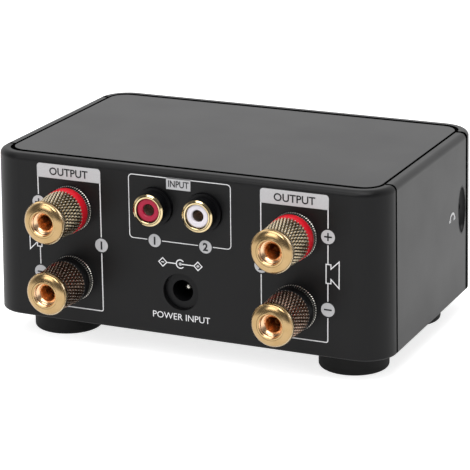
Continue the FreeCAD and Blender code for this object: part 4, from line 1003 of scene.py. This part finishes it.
def front_printing():
    """The knob's scale from 0 to 10, a tick and a number each 30 degrees, and the sign over the button."""
    printed = Print((1, 0, 0), (0, -1, 0))
    knob = middle("volume_knob")
    button = middle("power_button")
    tick_start, tick_end, tick_width = 14.6, 16.2, 0.45
    number_radius, number_height = 18.4, 1.9
    sign_above, sign_radius, sign_width = 9.5, 1.6, 0.4
    hub = Vector((knob.x, knob.z - CASE_BASE))
    for step in range(11):
        angle = math.radians(90 + 150 - 30 * step)
        turn = Vector((math.cos(angle), math.sin(angle)))
        printed.line([hub + turn * tick_start, hub + turn * tick_end], tick_width)
        spot = hub + turn * number_radius
        printed.words(str(step), spot.x, spot.y, number_height)
    power_v = button.z - CASE_BASE + sign_above
    printed.arc(button.x, power_v, sign_radius, 125, 415, sign_width)
    printed.line([(button.x, power_v + 0.2), (button.x, power_v + 2.1)], sign_width)
    printed.done("front_printing", (0, FRONT, CASE_BASE))


front_printing()


# ---- Floor, light and background
def ray_switch(tree, ray, otherwise, strength):
    """One strength for one kind of ray, and another for the rest."""
    way = tree.nodes.new("ShaderNodeLightPath").outputs[ray]
    return put(tree, "ShaderNodeMapRange", {"Value": way, "To Min": otherwise, "To Max": strength}).outputs[0]


def studio_floor(lift, lift_in_gloss):
    """A pale seamless floor, 6 m square. It looks nearly white and keeps the object's shadow."""
    half = 3.0
    mesh = bmesh.new()
    corners = [mesh.verts.new((x * half, y * half, 0)) for x, y in ((-1, -1), (1, -1), (1, 1), (-1, 1))]
    mesh.faces.new(corners)
    data = bpy.data.meshes.new("floor")
    mesh.to_mesh(data)
    mesh.free()
    made = bpy.data.materials.new("seamless_paper")
    made.use_nodes = True
    tree = made.node_tree
    shader = tree.nodes["Principled BSDF"]
    shader.inputs["Roughness"].default_value = 0.9
    shader.inputs["Specular IOR Level"].default_value = 0.0
    place = tree.nodes.new("ShaderNodeTexCoord").outputs["Object"]
    shade(tree, shader, grain(tree, place, 2.0), "#dcdcdc", "#e2e2e2")
    strength = ray_switch(tree, "Is Glossy Ray", 0.0, lift_in_gloss)
    for ray in ("Is Transmission Ray", "Is Camera Ray"):
        strength = ray_switch(tree, ray, strength, lift)
    tree.links.new(strength, shader.inputs["Emission Strength"])
    shader.inputs["Emission Color"].default_value = (1, 1, 1, 1)
    data.materials.append(made)
    floor = bpy.data.objects.new("floor", data)
    scene.collection.objects.link(floor)


def studio_world(plain, dim):
    """A white backdrop all round and, in gloss, a dim ceiling over the rear side, as in a studio."""
    world = bpy.data.worlds.new("studio")
    world.use_nodes = True
    scene.world = world
    tree = world.node_tree
    background = tree.nodes["Background"]
    background.inputs["Color"].default_value = (1, 1, 1, 1)
    way = tree.nodes.new("ShaderNodeTexCoord").outputs["Generated"]
    over_the_rear = (0.0, 0.77, 0.64)
    toward = put(tree, "ShaderNodeVectorMath", {0: way, 1: over_the_rear}, operation="DOT_PRODUCT").outputs[1]
    ceiling = put(tree, "ShaderNodeMapRange", {"Value": toward, "From Min": 0.15, "From Max": 0.55,
                                               "To Min": 1.0, "To Max": dim}).outputs[0]
    strength = ray_switch(tree, "Is Glossy Ray", plain, ceiling)
    for ray in ("Is Transmission Ray", "Is Camera Ray"):
        strength = ray_switch(tree, ray, strength, 1.0)
    tree.links.new(strength, background.inputs["Strength"])


def softbox(name, place, size, power, target=(0, 0, 0.03)):
    """A square lamp aimed at the object."""
    lamp = bpy.data.lights.new(name, "AREA")
    lamp.size = size
    lamp.energy = power
    holder = bpy.data.objects.new(name, lamp)
    holder.location = place
    holder.rotation_euler = (Vector(target) - Vector(place)).to_track_quat("-Z", "Y").to_euler()
    scene.collection.objects.link(holder)


studio_floor(0.75, 0.36)
studio_world(0.55, 0.12)
softbox("overhead_softbox", (0.1, 0.2, 1.1), 0.9, 8.0)
softbox("rear_softbox", (0.3, 1.0, 0.7), 0.6, 4.0)
softbox("side_softbox", (-0.32, 0.50, 0.80), 0.30, 2.4)
